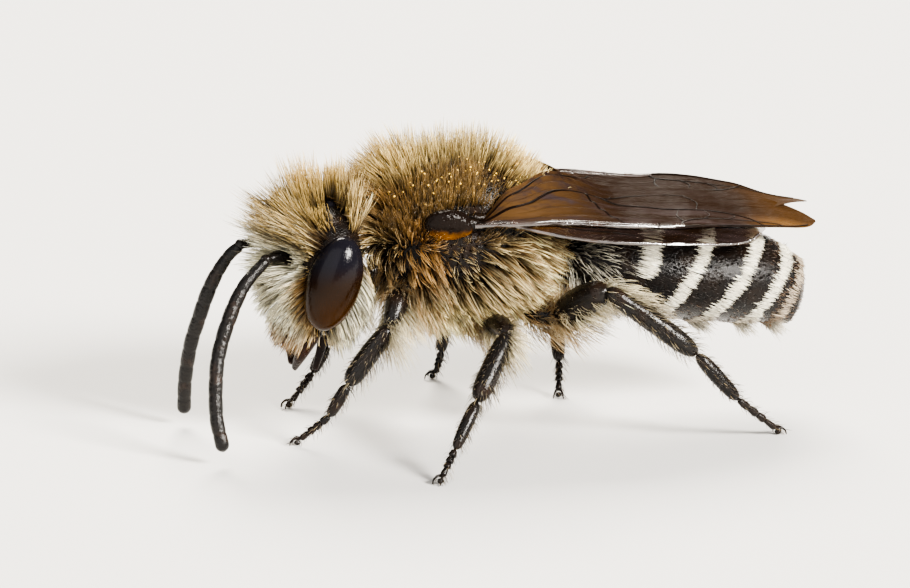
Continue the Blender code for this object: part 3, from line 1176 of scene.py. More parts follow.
@dataclass
class Head:
    """The head: its capsule, eyes, simple eyes, jaws and tongue, and the coat of the face."""

    centre: tuple[float, float, float] = (-3.14, -0.08, 2.8)
    yaw: float = math.radians(7)
    pitch: float = math.radians(9)
    ahead: float = 0.5
    behind: float = 0.56
    half_width: float = 1.12
    above: float = 1.02
    below: float = 1.22
    squareness: float = 2.35
    eye_place: tuple[float, float, float] = (-0.03, 0.94, -0.1)
    eye_reach: tuple[float, float, float] = (0.445, 0.36, 0.79)
    eye_pitch: float = math.radians(18)
    socket: tuple[float, float] = (0.3, 0.1)  # where an antenna leaves the face, along Y and Z
    # the simple eyes, in the head's own frame
    bead_places: Marks = ((-0.22, 0.0, 0.97), (-0.02, 0.2, 1.01), (-0.02, -0.2, 1.01))
    # jaws in the bee's own frame, for the right side
    jaw: Marks = ((-3.3, 0.4, 1.78), (-3.5, 0.4, 1.44), (-3.58, 0.14, 1.1))
    tongue: Marks = ((-3.02, -0.05, 1.72), (-3.1, -0.05, 1.35), (-3.2, -0.05, 1.0))
    coats: int = 2
    coat_hairs: int = 5600
    cream: Colour = (1.0, 0.93, 0.68)
    buff: Colour = (0.57, 0.39, 0.12)
    # umber darkens the roots, as painted shade down in the coat, and colours the dark hairs
    umber: Colour = (0.024, 0.012, 0.005)
    rust: Colour = (0.22, 0.09, 0.018)

    @property
    def turn(self) -> Matrix:
        """How the head is turned on its neck."""
        return Matrix.Rotation(self.yaw, 4, "Z") @ Matrix.Rotation(self.pitch, 4, "Y")

    def out(self, place: Row) -> Vector:
        """Carries a place from the head's own frame to the bee's."""
        return Vector(self.centre) + self.turn.to_3x3() @ Vector(place)

    def own(self, places: Numbers) -> Numbers:
        """Carries places from the bee's frame to the head's own."""
        return (places - np.array(self.centre)) @ np.array(self.turn.to_3x3())

    def capsule(self, bench: Bench) -> Piece:
        """Shapes the head's skin, with its long face and hollowed back.

        Args:
            bench: Where it is made.

        Returns:
            The new piece.
        """
        piece = bench.ball("head_skin", (0, 0, 0), (1, 1, 1), fineness=64)

        def swell(places: Numbers) -> Numbers:
            """Carries the unit ball to the head's reach, narrowed towards the mouth.

            Args:
                places: Places on the ball.

            Returns:
                Where they go.
            """
            size = (np.abs(places) ** self.squareness).sum(axis=1, keepdims=True) ** (1 / self.squareness)
            out = places / size
            out[:, 0] *= np.where(out[:, 0] < 0, self.ahead, self.behind)
            out[:, 1] *= self.half_width * (1.0 - 0.3 * smooth(0.0, -1.0, out[:, 2]))
            out[:, 2] *= np.where(out[:, 2] < 0, self.below, self.above)
            return out

        sculpt(piece, swell)
        bench.pull(piece, (-0.5, 0.0, -0.55), (-0.17, 0.0, 0.0), 0.6)  # the shield over the mouth
        bench.pull(piece, (-0.5, 0.0, 0.12), (0.05, 0.0, 0.0), 0.35)  # the hollow of the feelers
        bench.pull(piece, (0.0, 0.0, 1.2), (0.0, 0.0, 0.04), 0.4)  # the crown
        bench.pull(piece, (0.55, 0.0, 0.1), (-0.16, 0.0, 0.0), 0.6)  # the hollow for the neck
        sculpt(piece, lambda places: places @ np.array(self.turn.to_3x3()).T + np.array(self.centre))
        return piece

    def lie(self, places: Numbers, outs: Numbers, dice: Dice) -> Lie:
        """How the coat stands over the head.

        Args:
            places: The roots.
            outs: The outward direction at each root.
            dice: The source of chance.

        Returns:
            What each hair does.
        """
        x, y, z = self.own(places).T
        wide = np.abs(y)
        mirrored = np.stack([x, wide, z], axis=1)
        leant = np.array(Matrix.Rotation(self.eye_pitch - self.pitch, 3, "Y"))
        eye = (mirrored - self.eye_place) @ leant / self.eye_reach
        clear_of_eye = smooth(1.0, 1.22, (eye**2).sum(axis=1))
        beads = np.array([[place[0], abs(place[1]), place[2]] for place in self.bead_places[:2]])
        bead_gap = np.linalg.norm(mirrored[:, None] - beads[None], axis=2).min(axis=1)
        socket = np.hypot(wide - self.socket[0], z - self.socket[1])
        # the regions of the coat
        ahead = smooth(-0.02, -0.28, x)
        nape = smooth(0.12, 0.24, x) * smooth(0.62, 0.8, z)
        cheek = smooth(0.08, 0.26, x) * smooth(0.42, 0.0, z) * smooth(0.3, 0.6, wide)
        bald = smooth(0.44, 0.54, z) * smooth(-0.38, -0.27, x) * smooth(1.05, 0.9, wide)
        brow = ahead * smooth(0.12, 0.35, z)
        puff = ahead * smooth(-0.22, 0.02, z) * smooth(0.36, 0.18, z) * smooth(0.72, 0.5, wide)
        face = ahead * smooth(0.12, -0.15, z)
        crown = smooth(0.6, 0.76, z) * smooth(0.34, 0.22, wide) * smooth(0.25, 0.12, x)
        high = smooth(0.55, 0.85, z)
        back = smooth(0.36, 0.5, x) * (1 - cheek) * (1 - nape)
        bald = bald * smooth(0.24, 0.34, wide) * (1 - nape)
        edge = smooth(0.58, 0.74, wide) * ahead
        temple = smooth(-0.05, 0.1, z) * smooth(0.8, 0.95, wide) * smooth(-0.3, -0.1, x) * (1 - cheek)
        beside_socket = ahead * smooth(0.3, 0.42, wide) * smooth(-0.15, -0.02, z) * smooth(0.5, 0.32, z)
        in_socket = ahead * smooth(0.17, 0.1, socket)
        clear = clear_of_eye * smooth(0.095, 0.14, bead_gap) * smooth(-1.25, -1.05, z)
        # how thick it stands and how long it is
        density = 0.03 + 0.8 * brow + 0.8 * puff + 0.75 * face + 0.66 * nape
        density = np.clip(density + 0.9 * cheek + 0.85 * crown, 0, 0.95) * clear
        density = density * (1 - 0.55 * bald) * (1 - 0.85 * back)
        density = density * (1 - 0.9 * in_socket) * (1 - 0.8 * temple)
        length = 0.22 + 0.66 * brow * (1 - 0.62 * smooth(0.5, 0.8, z)) + 0.42 * puff
        length = length + face * (0.24 * smooth(-1.05, -0.3, z) + 0.22 * smooth(-0.7, -1.0, z))
        length = length + 0.26 * cheek + 0.42 * nape + 0.34 * crown
        length = length * (1 - 0.45 * edge * (1 - brow) - 0.2 * edge * brow)
        length = length * (1 - 0.72 * beside_socket) * (1 - 0.55 * bald)

        # which way it goes: out from the brow, down the face and cheeks, up on the crown
        def way(ahead: Numbers | float, up: Numbers | float, spread: Numbers | float = 1.0) -> Numbers:
            """One direction for each place, from how far it goes along X, up and to the side."""
            return np.stack([ahead + 0 * x, spread * 0.5 * y, up + 0 * x], axis=1)

        ways = (
            (brow, way(-0.85 + 0.5 * high, 0.42 + 0.7 * high, 0.9 - 0.5 * high)),
            (puff, way(-1.0, 0.22)),
            (face, way(-0.62 + 0.4 * smooth(-0.3, -1.0, z), -0.5 - 0.5 * smooth(0.0, -0.7, z), 0.6)),
            (cheek, way(0.3, -1.0, 0.25)),
            (nape, way(-0.62 + 0.8 * smooth(0.1, 0.4, x), 0.85, 0.4)),
            (crown, way(-0.25, 1.0, 0.4)),
        )
        toward = sum(share[:, None] * to for share, to in ways) + 0.05 * outs
        sweep = unit(unit(toward) @ np.array(self.turn.to_3x3()).T + 0.1 * outs)
        # its colours: white below, buff above and rust round the mouth
        cream, buff, umber, rust = np.array((self.cream, self.buff, self.umber, self.rust))
        white_face = face * smooth(-1.15, -0.85, z) * smooth(0.68, 0.5, wide)
        white = np.clip(puff + white_face + cheek * smooth(0.25, -0.05, z), 0, 1)
        warm = np.clip(face * (0.75 * smooth(0.56, 0.74, wide) + 0.9 * smooth(-0.72, -1.02, z)), 0, 1)
        # the roots are darker than the tips: painted shade down in the coat, with rust round the mouth
        roots = blend(blend(umber, cream * 0.34, white), rust * 0.8, 0.8 * warm)
        tips = blend(blend(buff, cream, np.clip(white + 0.3 * nape, 0, 1)), rust * 1.45, 0.8 * warm)
        tips = blend(tips, cream, 0.6 * dice.random(len(x)) ** 2 * (1 - 0.5 * warm))
        dark = 0.28 * brow + 0.12 * warm + 0.22 * cheek + 0.1 * face + 0.06 + bald
        tips = blend(tips, umber * 1.5, 0.9 * (dice.random(len(x)) < dark))
        tips = blend(tips, buff * 1.35, 0.6 * high * (x < 0.3))
        rise = unit(0.55 * outs + 0.75 * sweep)
        lock = 0.35 + 0.5 * cheek + 0.4 * face - 0.15 * crown - 0.22 * nape
        girth = 1.0 - 0.2 * brow + 0.25 * np.maximum(cheek, face)
        return Lie(density, length, rise, sweep, roots, tips, lock, girth)

    def eyes(self, bench: Bench, gloss: Material) -> None:
        """Sets the two compound eyes in the sides of the head.

        Args:
            bench: Where they are made.
            gloss: Their finish.
        """
        tilt = Matrix.Rotation(self.yaw, 4, "Z") @ Matrix.Rotation(self.eye_pitch, 4, "Y")
        for side, name in ((-1.0, "left"), (1.0, "right")):
            x, y, z = self.eye_place
            eye = bench.ball(f"eye_{name}_globe", self.out((x, side * y, z)), self.eye_reach, tilt, 64)
            bench.fine(eye, gloss, Slot.EYE, [f"eye_{name}"], sharp=SHADE_ALL)

    def ocelli(self, bench: Bench, gloss: Material) -> None:
        """Sets the three bead-like simple eyes on the crown.

        Args:
            bench: Where they are made.
            gloss: Their finish.
        """
        beads = []
        for x, y, z in self.bead_places:
            beads.append(bench.ball("bead", self.out((x, y, z)), (0.085, 0.085, 0.075), self.turn, 24))
        bench.fine(bench.join("ocelli", beads), gloss, Slot.EYE, sharp=SHADE_ALL)

    def mouth(self, bench: Bench, finish: Material) -> None:
        """Makes the two jaws, the upper lip between them and the tongue folded behind.

        Args:
            bench: Where they are made.
            finish: Their finish.
        """
        for side, name in ((-1.0, "left"), (1.0, "right")):
            line = through([(x, side * y - 0.12, z) for x, y, z in self.jaw], 14)
            shares = np.linspace(0, 1, 14)
            jaw = bench.tube(f"jaw_{name}", line, 0.15 * (1 - 0.68 * shares**1.4), 16)
            bench.fine(bench.soften(jaw), finish, Slot.MOUTH, [f"mandible_{name}"])
        lip = bench.ball("upper_lip", self.out((-0.2, 0.0, -1.2)), (0.12, 0.3, 0.2), self.turn, 32)
        bench.fine(lip, finish, Slot.MOUTH)
        tongue = bench.tube("tongue_lobe", through(self.tongue, 12), np.linspace(0.11, 0.05, 12), 16)
        bench.fine(bench.soften(tongue), finish, Slot.MOUTH, ["tongue"])

    def build(
        self,
        bench: Bench,
        shell: Material,
        gloss: Material,
        mouth: Material,
        hair: Material,
    ) -> None:
        """Makes the head and all on it but the antennae.

        Args:
            bench: Where they are made.
            shell: The skin's finish.
            gloss: The eyes' finish.
            mouth: The jaws', lip's and tongue's finish.
            hair: The coat's finish.
        """
        piece = self.capsule(bench)
        skin = Skin.of(piece)
        bench.fine(piece, shell, Slot.SHELL, ["head"], sharp=SHADE_ALL)
        self.eyes(bench, gloss)
        self.ocelli(bench, gloss)
        self.mouth(bench, mouth)
        chart = partial(round_chart, self.centre)
        for number in range(self.coats):
            Coat(
                f"head_coat_{number + 1}", skin, self.lie, chart, self.coat_hairs,
                seed=41 + number, thickness=0.0076, locks=1300, lock_seed=40,
                stray=0.09, lock_tone=0.28, depth=1.6,
            ).grow(bench, hair)


@dataclass
class Antenna:
    """One antenna: the arched scape, the small pedicel and the ringed whip."""

    side: str
    marks: Marks
    scape: Marks
    thickness: float = 0.122
    joints: int = 11

    def build(self, bench: Bench, shell: Material, down: Material) -> None:
        """Makes the antenna in two pieces.

        Args:
            bench: Where it is made.
            shell: The scape's finish.
            down: The whip's finish.
        """
        line = through(self.scape, 20)
        shares = np.linspace(0, 1, 20)
        radii = 0.07 + 0.028 * np.sin(math.pi * shares**1.4)
        stalk = bench.tube("stalk", line, radii, 16)
        knob = bench.ball("knob", line[-1], (0.1, 0.09, 0.09), fineness=24)
        scape = bench.join(f"antenna_scape_{self.side}_shell", [stalk, knob])
        bench.fine(scape, shell, Slot.FEELER, [f"antenna_scape_{self.side}"])
        steps = self.joints * 10 + 1
        line = through(self.marks, steps)
        shares = np.linspace(0, 1, steps)
        within = (shares * self.joints) % 1.0
        groove = np.exp(-((np.minimum(within, 1 - within) / 0.07) ** 2))
        belly = 0.025 * np.sin(math.pi * within)
        radii = self.thickness * (0.98 + belly - 0.06 * groove) * (0.74 + 0.26 * smooth(0.0, 0.34, shares))
        radii = radii * (1.03 - 0.09 * shares)
        radii = radii * np.sqrt(np.clip(1.0 - ((shares - 0.965) / 0.036).clip(0, 0.985) ** 2, 0.0, 1.0))
        whip = bench.tube(f"antenna_whip_{self.side}", line, radii, 20)
        nodes = [f"antenna_whip_upper_{self.side}", f"antenna_whip_lower_{self.side}"]
        bench.fine(whip, down, Slot.FEELER, nodes, sharp=60.0)


@dataclass
class Abdomen:
    """The abdomen: six overlapping plates, hair bands along their hind edges and a fringe below."""

    # place of the middle along X and Z, half height, half width, lean in degrees
    rings: Marks = (
        (0.7, 2.66, 0.3, 0.36, 0),
        (0.92, 2.65, 0.55, 0.7, 3),
        (1.2, 2.62, 0.7, 0.93, 6),
        (1.6, 2.55, 0.78, 1.07, 9),
        (2.02, 2.49, 0.84, 1.14, 20),
        (2.75, 2.36, 0.93, 1.17, 36),
        (3.56, 2.2, 0.9, 1.08, 38),
        (4.21, 2.0, 0.73, 0.86, 35),
        (4.6, 1.87, 0.585, 0.65, 28),
        (4.75, 1.8, 0.5, 0.52, 15),
    )
    margins: tuple[int, ...] = (4, 5, 6, 7, 8)
    band: tuple[float, ...] = (0.2, 0.2, 0.2, 0.19, 0.15)
    band_coats: int = 2
    band_hairs: int = 8000
    down_hairs: int = 7000
    white: Colour = (0.86, 0.81, 0.66)
    brown: Colour = (0.11, 0.058, 0.022)
    black: Colour = (0.01, 0.006, 0.0035)

    def ring(self, place: float) -> tuple[float, ...]:
        """Reads a ring between the given ones, smoothly.

        Args:
            place: The ring's number, which may lie between two.

        Returns:
            Its place along X and Z, half height, half width and lean in degrees.
        """
        table = np.array(self.rings)
        steps = np.arange(len(table))
        dense = through(np.column_stack([steps, table]), 240)
        return tuple(np.interp(place, dense[:, 0], dense[:, i]) for i in range(1, 6))

    def profile(self) -> list[tuple[float, float, float]]:
        """Lists the steps that draw the plates, each hind edge proud of the next plate.

        Returns:
            For each step its place along the rings, its scale and a small set-back in millimetres.
        """
        steps = [(0.0, 0.55, -0.12), (0.0, 1.0, 0.0)]
        starts = [0, *self.margins]
        for first, last in zip(starts, [*self.margins, len(self.rings) - 1]):
            span = last - first
            if first:
                steps.append((first, 0.93, -0.06))
                steps.append((first, 0.945, 0.01))
            for share in (0.12, 0.3, 0.5, 0.7, 0.88):
                swell = 1.0 - 0.05 * (1 - share) ** 1.6 * bool(first)
                steps.append((first + span * share, swell, 0.0))
            if last in self.margins:
                steps += [(last, 1.0, -0.015), (last, 0.995, 0.012), (last, 0.978, 0.018)]
        tail = len(self.rings) - 1
        return [*steps, (tail, 1.0, 0.0), (tail, 0.74, 0.08), (tail, 0.3, 0.12)]

    def plates(self, bench: Bench) -> Piece:
        """Draws the plates out of one circle, ring by ring.

        Args:
            bench: Where they are made.

        Returns:
            The new piece.
        """
        bench.clear()
        upright = (0.0, -math.pi / 2, 0.0)
        bpy.ops.mesh.primitive_circle_add(vertices=72, radius=1.0, fill_type="NGON", rotation=upright)
        piece = bpy.context.object
        piece.name = "abdomen_plates"
        bpy.ops.object.transform_apply(location=True, rotation=True, scale=True)
        bpy.ops.object.mode_set(mode="EDIT")
        bpy.ops.mesh.select_all(action="SELECT")
        was = (0.0, 0.0, 1.0, 1.0, 0.0)
        for number, (place, scale, back) in enumerate(self.profile()):
            x, z, tall, wide, lean = self.ring(place)
            now = (x + back, z, tall * scale, wide * scale, math.radians(lean))
            if number:
                bpy.ops.mesh.extrude_region_move()
            middle = Vector((was[0], 0.0, was[1]))
            bpy.ops.transform.rotate(value=was[4], orient_axis="Y", center_override=middle)
            bpy.ops.transform.resize(value=(1.0, now[3] / was[3], now[2] / was[2]), center_override=middle)
            bpy.ops.transform.rotate(value=-now[4], orient_axis="Y", center_override=middle)
            bpy.ops.transform.translate(value=(now[0] - was[0], 0.0, now[1] - was[1]))
            was = now
        bpy.ops.object.mode_set(mode="OBJECT")
        return bench.seal(piece, 1e-5)

    def before_margin(self, places: Numbers) -> tuple[Numbers, Numbers]:
        """How far each place lies ahead of the next plate edge behind it.

        Args:
            places: Places on the abdomen.

        Returns:
            The distance in millimetres, and which edge it is, from 0, or their number past the last.
        """
        ahead = np.full(len(places), 9.0)
        which = np.full(len(places), len(self.margins))
        for number in reversed(range(len(self.margins))):
            x, z, _, _, lean = self.rings[self.margins[number]]
            gap = x + (places[:, 2] - z) * math.tan(math.radians(lean)) - places[:, 0]
            nearer = gap > -0.005
            ahead[nearer], which[nearer] = gap[nearer], number
        return ahead, which

    def heights(self, places: Numbers) -> Numbers:
        """How high each place lies above the abdomen's middle line.

        Args:
            places: Places on the abdomen.

        Returns:
            The heights, as shares of the half height there.
        """
        table = np.array(self.rings)
        middle = np.interp(places[:, 0], table[:, 0], table[:, 1])
        tall = np.interp(places[:, 0], table[:, 0], table[:, 2])
        return (places[:, 2] - middle) / tall

    def backward(self, outs: Numbers) -> Numbers:
        """The direction along the skin towards the tail."""
        tail = np.array([0.93, 0.0, -0.36])
        return unit(tail - (outs @ tail)[:, None] * outs)

    def band_lie(self, places: Numbers, outs: Numbers, dice: Dice) -> Lie:
        """The close white bands along the plates' hind edges.

        Args:
            places: The roots.
            outs: The outward direction at each root.
            dice: The source of chance.

        Returns:
            What each hair does.
        """
        ahead, which = self.before_margin(places)
        number = len(ahead)
        wide = np.array([*self.band, 0.0])[which]
        height = self.heights(places)
        ragged = 0.05 * dice.standard_normal(number)
        inside = smooth(0.02, 0.05, ahead) * smooth(1.0, 0.82, (ahead + ragged) / np.maximum(wide, 1e-3))
        inside = inside * (which < len(self.margins))
        first, last = which == 0, which == len(self.margins) - 1
        wedge = smooth(0.98, 0.74, height) * smooth(0.02, 0.26, height)
        below = smooth(-0.7, -0.95, height)
        density = inside * np.where(first, wedge, 1.0) * (1 - 0.8 * below) * np.where(last, 0.55, 1.0)
        tail = self.backward(outs)
        rise = unit(tail + 0.22 * outs)
        sweep = unit(tail - 0.02 * outs - 0.1 * UP)
        length = 0.125 + 0.03 * dice.random(number) + 0.08 * first
        dull = np.clip(smooth(-0.45, -0.9, height) * 0.5 + 0.62 * last, 0, 1)
        tips = blend(self.white, np.array(self.brown) * 2.0, dull)
        lock = np.full(number, 0.25)
        # the roots take the tips' colour darkened: painted shade down among the band's hairs
        return Lie(density, length, rise, sweep, tips * 0.75, tips, lock, np.ones(number))

    def sparse_lie(self, places: Numbers, outs: Numbers, dice: Dice) -> Lie:
        """The pale wool in front, the short dark hair between the bands and the fringe below.

        Args:
            places: The roots.
            outs: The outward direction at each root.
            dice: The source of chance.

        Returns:
            What each hair does.
        """
        ahead, which = self.before_margin(places)
        number = len(ahead)
        height = self.heights(places)
        wool = smooth(2.0, 1.2, places[:, 0]) * smooth(0.95, 0.45, height)
        fringe = smooth(-0.45, -0.8, height) * smooth(0.2, 0.05, ahead) * (which > 0)
        tail_end = smooth(4.05, 4.4, places[:, 0])
        density = np.clip(0.13 + 0.2 * wool + 0.9 * fringe + 0.24 * tail_end, 0, 1)
        length = 0.085 + 0.3 * wool + 0.26 * fringe - 0.01 * tail_end
        tail = self.backward(outs)
        loose = np.clip(wool + fringe, 0, 1)
        rise = unit(0.35 * outs + tail + 0.6 * loose[:, None] * outs)
        sweep = unit(blend(tail + 0.12 * outs, tail + 0.55 * outs - 0.3 * UP, loose))
        browned = np.clip(tail_end + 0.8 * smooth(-0.1, -0.6, height), 0, 1)
        whitened = np.clip(wool * (0.25 + 0.75 * (dice.random(number) < 0.6)) + 0.7 * fringe, 0, 1)
        tips = blend(blend(self.black, self.brown, browned), np.array(self.white) * 0.9, whitened)
        lock, girth = 0.15 + 0.35 * loose, 1.0 + 0.3 * loose
        # the roots take the tips' colour darkened: painted shade down among the hairs
        return Lie(density, length, rise, sweep, tips * 0.55, tips, lock, girth)

    def chart(self, places: Numbers) -> Numbers:
        """Unwraps the abdomen: the turn about its middle line, and the way along it.

        Args:
            places: Places on the abdomen.

        Returns:
            Two shares for each place.
        """
        table = np.array(self.rings)
        middle = np.interp(places[:, 0], table[:, 0], table[:, 1])
        turn = np.arctan2(places[:, 1], places[:, 2] - middle) / (2 * math.pi) + 0.5
        return np.stack([turn, (places[:, 0] - 0.5) / 4.7], axis=1)

    def build(self, bench: Bench, shell: Material, hair: Material) -> None:
        """Makes the plates and their hair.

        Args:
            bench: Where they are made.
            shell: The plates' finish.
            hair: The hair's finish.
        """
        piece = self.plates(bench)
        skin = Skin.of(piece)
        bench.fine(piece, shell, Slot.SHELL, [f"abdomen_{number}" for number in range(1, 7)], sharp=40.0)
        for number in range(self.band_coats):
            Coat(
                f"abdomen_bands_{number + 1}", skin, self.band_lie, self.chart, self.band_hairs,
                seed=61 + number, thickness=0.007, rings=(0.0, 0.4, 0.75), locks=900, lock_seed=60,
                stray=0.09, sunk=0.006, lock_tone=0.1, depth=0.8,
            ).grow(bench, hair)
        Coat(
            "abdomen_down", skin, self.sparse_lie, self.chart, self.down_hairs,
            seed=71, thickness=0.005, rings=(0.0, 0.4, 0.75), locks=700, lock_seed=70,
            stray=0.16, sunk=0.008, depth=0.9,
        ).grow(bench, hair)


@dataclass
class Leg:
    """One leg from hip to claws, with its bristles."""

    pair: str
    side: str
    joints: Marks  # hip, knee, ankle, mid foot, last joint
    femur: float
    tibia: float
    basitarsus: float
    tuft: float
    tuft_spread: float = 11.0
    fullness: float = 0.45
    hairs: int = 2000
    pale: Colour = (0.8, 0.7, 0.46)
    fawn: Colour = (0.34, 0.2, 0.075)
    gold: Colour = (0.22, 0.15, 0.07)
    dark: Colour = (0.018, 0.01, 0.005)

    def bones(self, bench: Bench) -> list[Piece]:
        """Makes the jointed lengths as separate shells.

        Args:
            bench: Where they are made.

        Returns:
            The new pieces.
        """
        hip, knee, ankle, middle, last = (np.array(joint) for joint in self.joints)
        pieces = []

        def length(
            name: str,
            start: Numbers,
            end: Numbers,
            widths: Row,
            bow: Numbers,
            count: int = 15,
            blunt: float = 0.02,
        ) -> None:
            """Adds one length.

            Args:
                name: Its name.
                start: Where it starts.
                end: Where it ends.
                widths: Its radii, read evenly along it.
                bow: How far its middle is pushed aside.
                count: How many rings draw it.
                blunt: How wide its very ends stay.
            """
            line = through([start, (start + end) / 2 + bow, end], count)
            shares = np.linspace(0, 1, count)
            radii = np.interp(shares, np.linspace(0, 1, len(widths)), widths)
            ends = np.sqrt(np.clip(1 - (np.abs(shares - 0.5) * 2) ** 14, blunt, 1))
            pieces.append(bench.soften(bench.tube(name, line, radii * ends, 12)))

        thigh = knee - hip
        trochanter = hip + 0.12 * thigh
        level = UP * 0.0
        inward = unit((np.array([-0.75, 0.3 * hip[1], 2.35]) - hip)[None])[0]
        length("coxa", hip + 0.5 * inward, trochanter, (0.2, 0.21, 0.15), level)
        f, t, b = self.femur, self.tibia, self.basitarsus
        length("femur", trochanter, knee, (0.6 * f, 0.92 * f, f, 0.97 * f, 0.84 * f, 0.62 * f), UP * 0.05)
        widths = (0.78 * t, 0.9 * t, 0.98 * t, t, 0.97 * t, 0.78 * t)
        length("tibia", knee, ankle, widths, UP * 0.02, blunt=0.3)
        length("basitarsus", ankle, middle, (0.68 * b, 0.98 * b, b, 0.92 * b, 0.7 * b), level)
        stops = [middle + (last - middle) * share for share in (0.0, 0.26, 0.5, 0.7, 1.0)]
        for number, (start, end) in enumerate(zip(stops, stops[1:])):
            thin = 0.072 if number < 3 else 0.058
            widths = (0.76 * thin, 0.9 * thin, 1.05 * thin, 1.0 * thin)
            length(f"joint_{number}", start, end, widths, level, 9, 0.7)
        pieces += self.claws(bench, last, last - middle)
        return pieces

    def claws(self, bench: Bench, last: Numbers, onward: Numbers) -> list[Piece]:
        """Makes two hooked claws and the pad between them, resting on the floor.

        Args:
            bench: Where they are made.
            last: The last joint's place.
            onward: The direction of the foot.

        Returns:
            The new pieces.
        """
        ahead = unit((onward * (1, 1, 0))[None])[0]
        beside = np.cross(UP, ahead)
        made = []
        for sign in (-1.0, 1.0):
            marks = [
                last,
                last + 0.08 * ahead + sign * 0.04 * beside + 0.01 * UP,
                last + 0.15 * ahead + sign * 0.07 * beside - 0.04 * UP,
                last + 0.17 * ahead + sign * 0.08 * beside - UP * (last[2] - 0.012),
            ]
            made.append(bench.tube("claw", through(marks, 12), np.linspace(0.03, 0.01, 12), 8))
        below = last + 0.06 * ahead - UP * (last[2] - 0.05)
        pad = bench.ball("pad", below, (0.055, 0.04, 0.045), fineness=16)
        return [*made, pad]

    def spur(self, bench: Bench) -> Piece:
        """Makes the small spine at the shin's end.

        Args:
            bench: Where it is made.

        Returns:
            The new piece.
        """
        ankle, knee, middle = (np.array(self.joints[i]) for i in (2, 1, 3))
        down = unit((unit((ankle - knee)[None]) + unit((middle - ankle)[None]) - 1.1 * UP[None]))[0]
        line = through([ankle, ankle + 0.17 * down, ankle + 0.32 * down + 0.02 * TAILWARD], 8)
        return bench.tube("spur", line, np.linspace(0.026, 0.006, 8), 8)

    def lie(self, places: Numbers, outs: Numbers, dice: Dice) -> Lie:
        """Bristles along the leg, slanting towards the foot, and the long tuft under the thigh.

        Args:
            places: The roots.
            outs: The outward direction at each root.
            dice: The source of chance.

        Returns:
            What each hair does.
        """
        path = through(self.joints, 80)
        gaps = ((places[:, None] - path[None]) ** 2).sum(axis=2)
        nearest = gaps.argmin(axis=1)
        onward = unit(np.gradient(path, axis=0))[nearest]
        knee, ankle = (((path - np.array(self.joints[i])) ** 2).sum(axis=1).argmin() for i in (1, 2))
        thigh = smooth(knee + 4, knee - 6, nearest.astype(float))
        foot = smooth(ankle - 1, ankle + 3, nearest.astype(float))
        shin = (1 - thigh) * (1 - foot)
        hip = smooth(12, 4, nearest.astype(float))
        under = smooth(0.05, -0.5, outs[:, 2])
        behind = smooth(0.0, 0.6, outs[:, 0])
        by_knee = np.exp(-(((nearest - knee) / self.tuft_spread) ** 2)) * behind
        tuft = np.maximum(thigh * under, by_knee)
        length = 0.12 - 0.05 * thigh + 0.2 * hip + self.tuft * tuft
        length = length + 0.12 * shin * np.maximum(behind, under) + 0.04 * foot * behind
        density = 0.16 - 0.14 * thigh + self.fullness * tuft + 0.1 * behind * (1 - thigh) + 0.62 * hip
        rise = unit(0.85 * outs + 0.6 * onward)
        hang = tuft[:, None] * (0.7 * TAILWARD - 0.9 * UP)
        sweep = unit(0.35 * outs + 0.9 * onward + hang + 0.25 * TAILWARD)
        number = len(places)
        pale, fawn, gold, dark = np.array((self.pale, self.fawn, self.gold, self.dark))
        tips = blend(pale, gold, (0.85 * foot + 0.65 * shin + 0.4 * thigh) * (1 - tuft))
        tips = blend(tips, dark, 0.9 * (dice.random(number) < 0.76) * (1 - tuft))
        tips = blend(tips, blend(fawn, pale * 0.8, 0.5 * (dice.random(number) < 0.4)), 0.9 * hip)
        lock, girth = 0.2 + 0.3 * tuft, 1.0 + 0.3 * tuft
        # the roots take the tips' colour darkened: painted shade at the base of the bristles
        return Lie(density.clip(0, 1), length, rise, sweep, tips * 0.6, tips, lock, girth)

    def chart(self, places: Numbers) -> Numbers:
        """Unwraps the leg: the turn about its middle line, and the way along it.

        Args:
            places: Places on the leg.

        Returns:
            Two shares for each place.
        """
        path = through(self.joints, 80)
        nearest = ((places[:, None] - path[None]) ** 2).sum(axis=2).argmin(axis=1)
        away = places - path[nearest]
        turn = np.arctan2(away[:, 1] + 0.3 * away[:, 0], away[:, 2]) / (2 * math.pi) + 0.5
        return np.stack([turn, nearest / 79.0], axis=1)

    def build(self, bench: Bench, shell: Material, hair: Material) -> None:
        """Makes the leg and its bristles.

        Args:
            bench: Where they are made.
            shell: The leg's finish.
            hair: The bristles' finish.
        """
        limb = bench.join(f"{self.pair}_leg_{self.side}", [*self.bones(bench), self.spur(bench)])
        skin = Skin.of(limb)
        nodes = [f"{self.pair}_{part}_{self.side}" for part in ("femur", "tibia", "tarsus")]
        bench.fine(limb, shell, Slot.SHELL, nodes, sharp=60.0)
        seed = 80 + len(self.pair) * 3 + (self.side == "left")
        Coat(
            f"{self.pair}_leg_hair_{self.side}", skin, self.lie, self.chart, self.hairs,
            seed=seed, thickness=0.0044, rings=(0.0, 0.4, 0.75), locks=200, lock_seed=seed,
            stray=0.15, sunk=0.008, depth=0.9,
        ).grow(bench, hair)


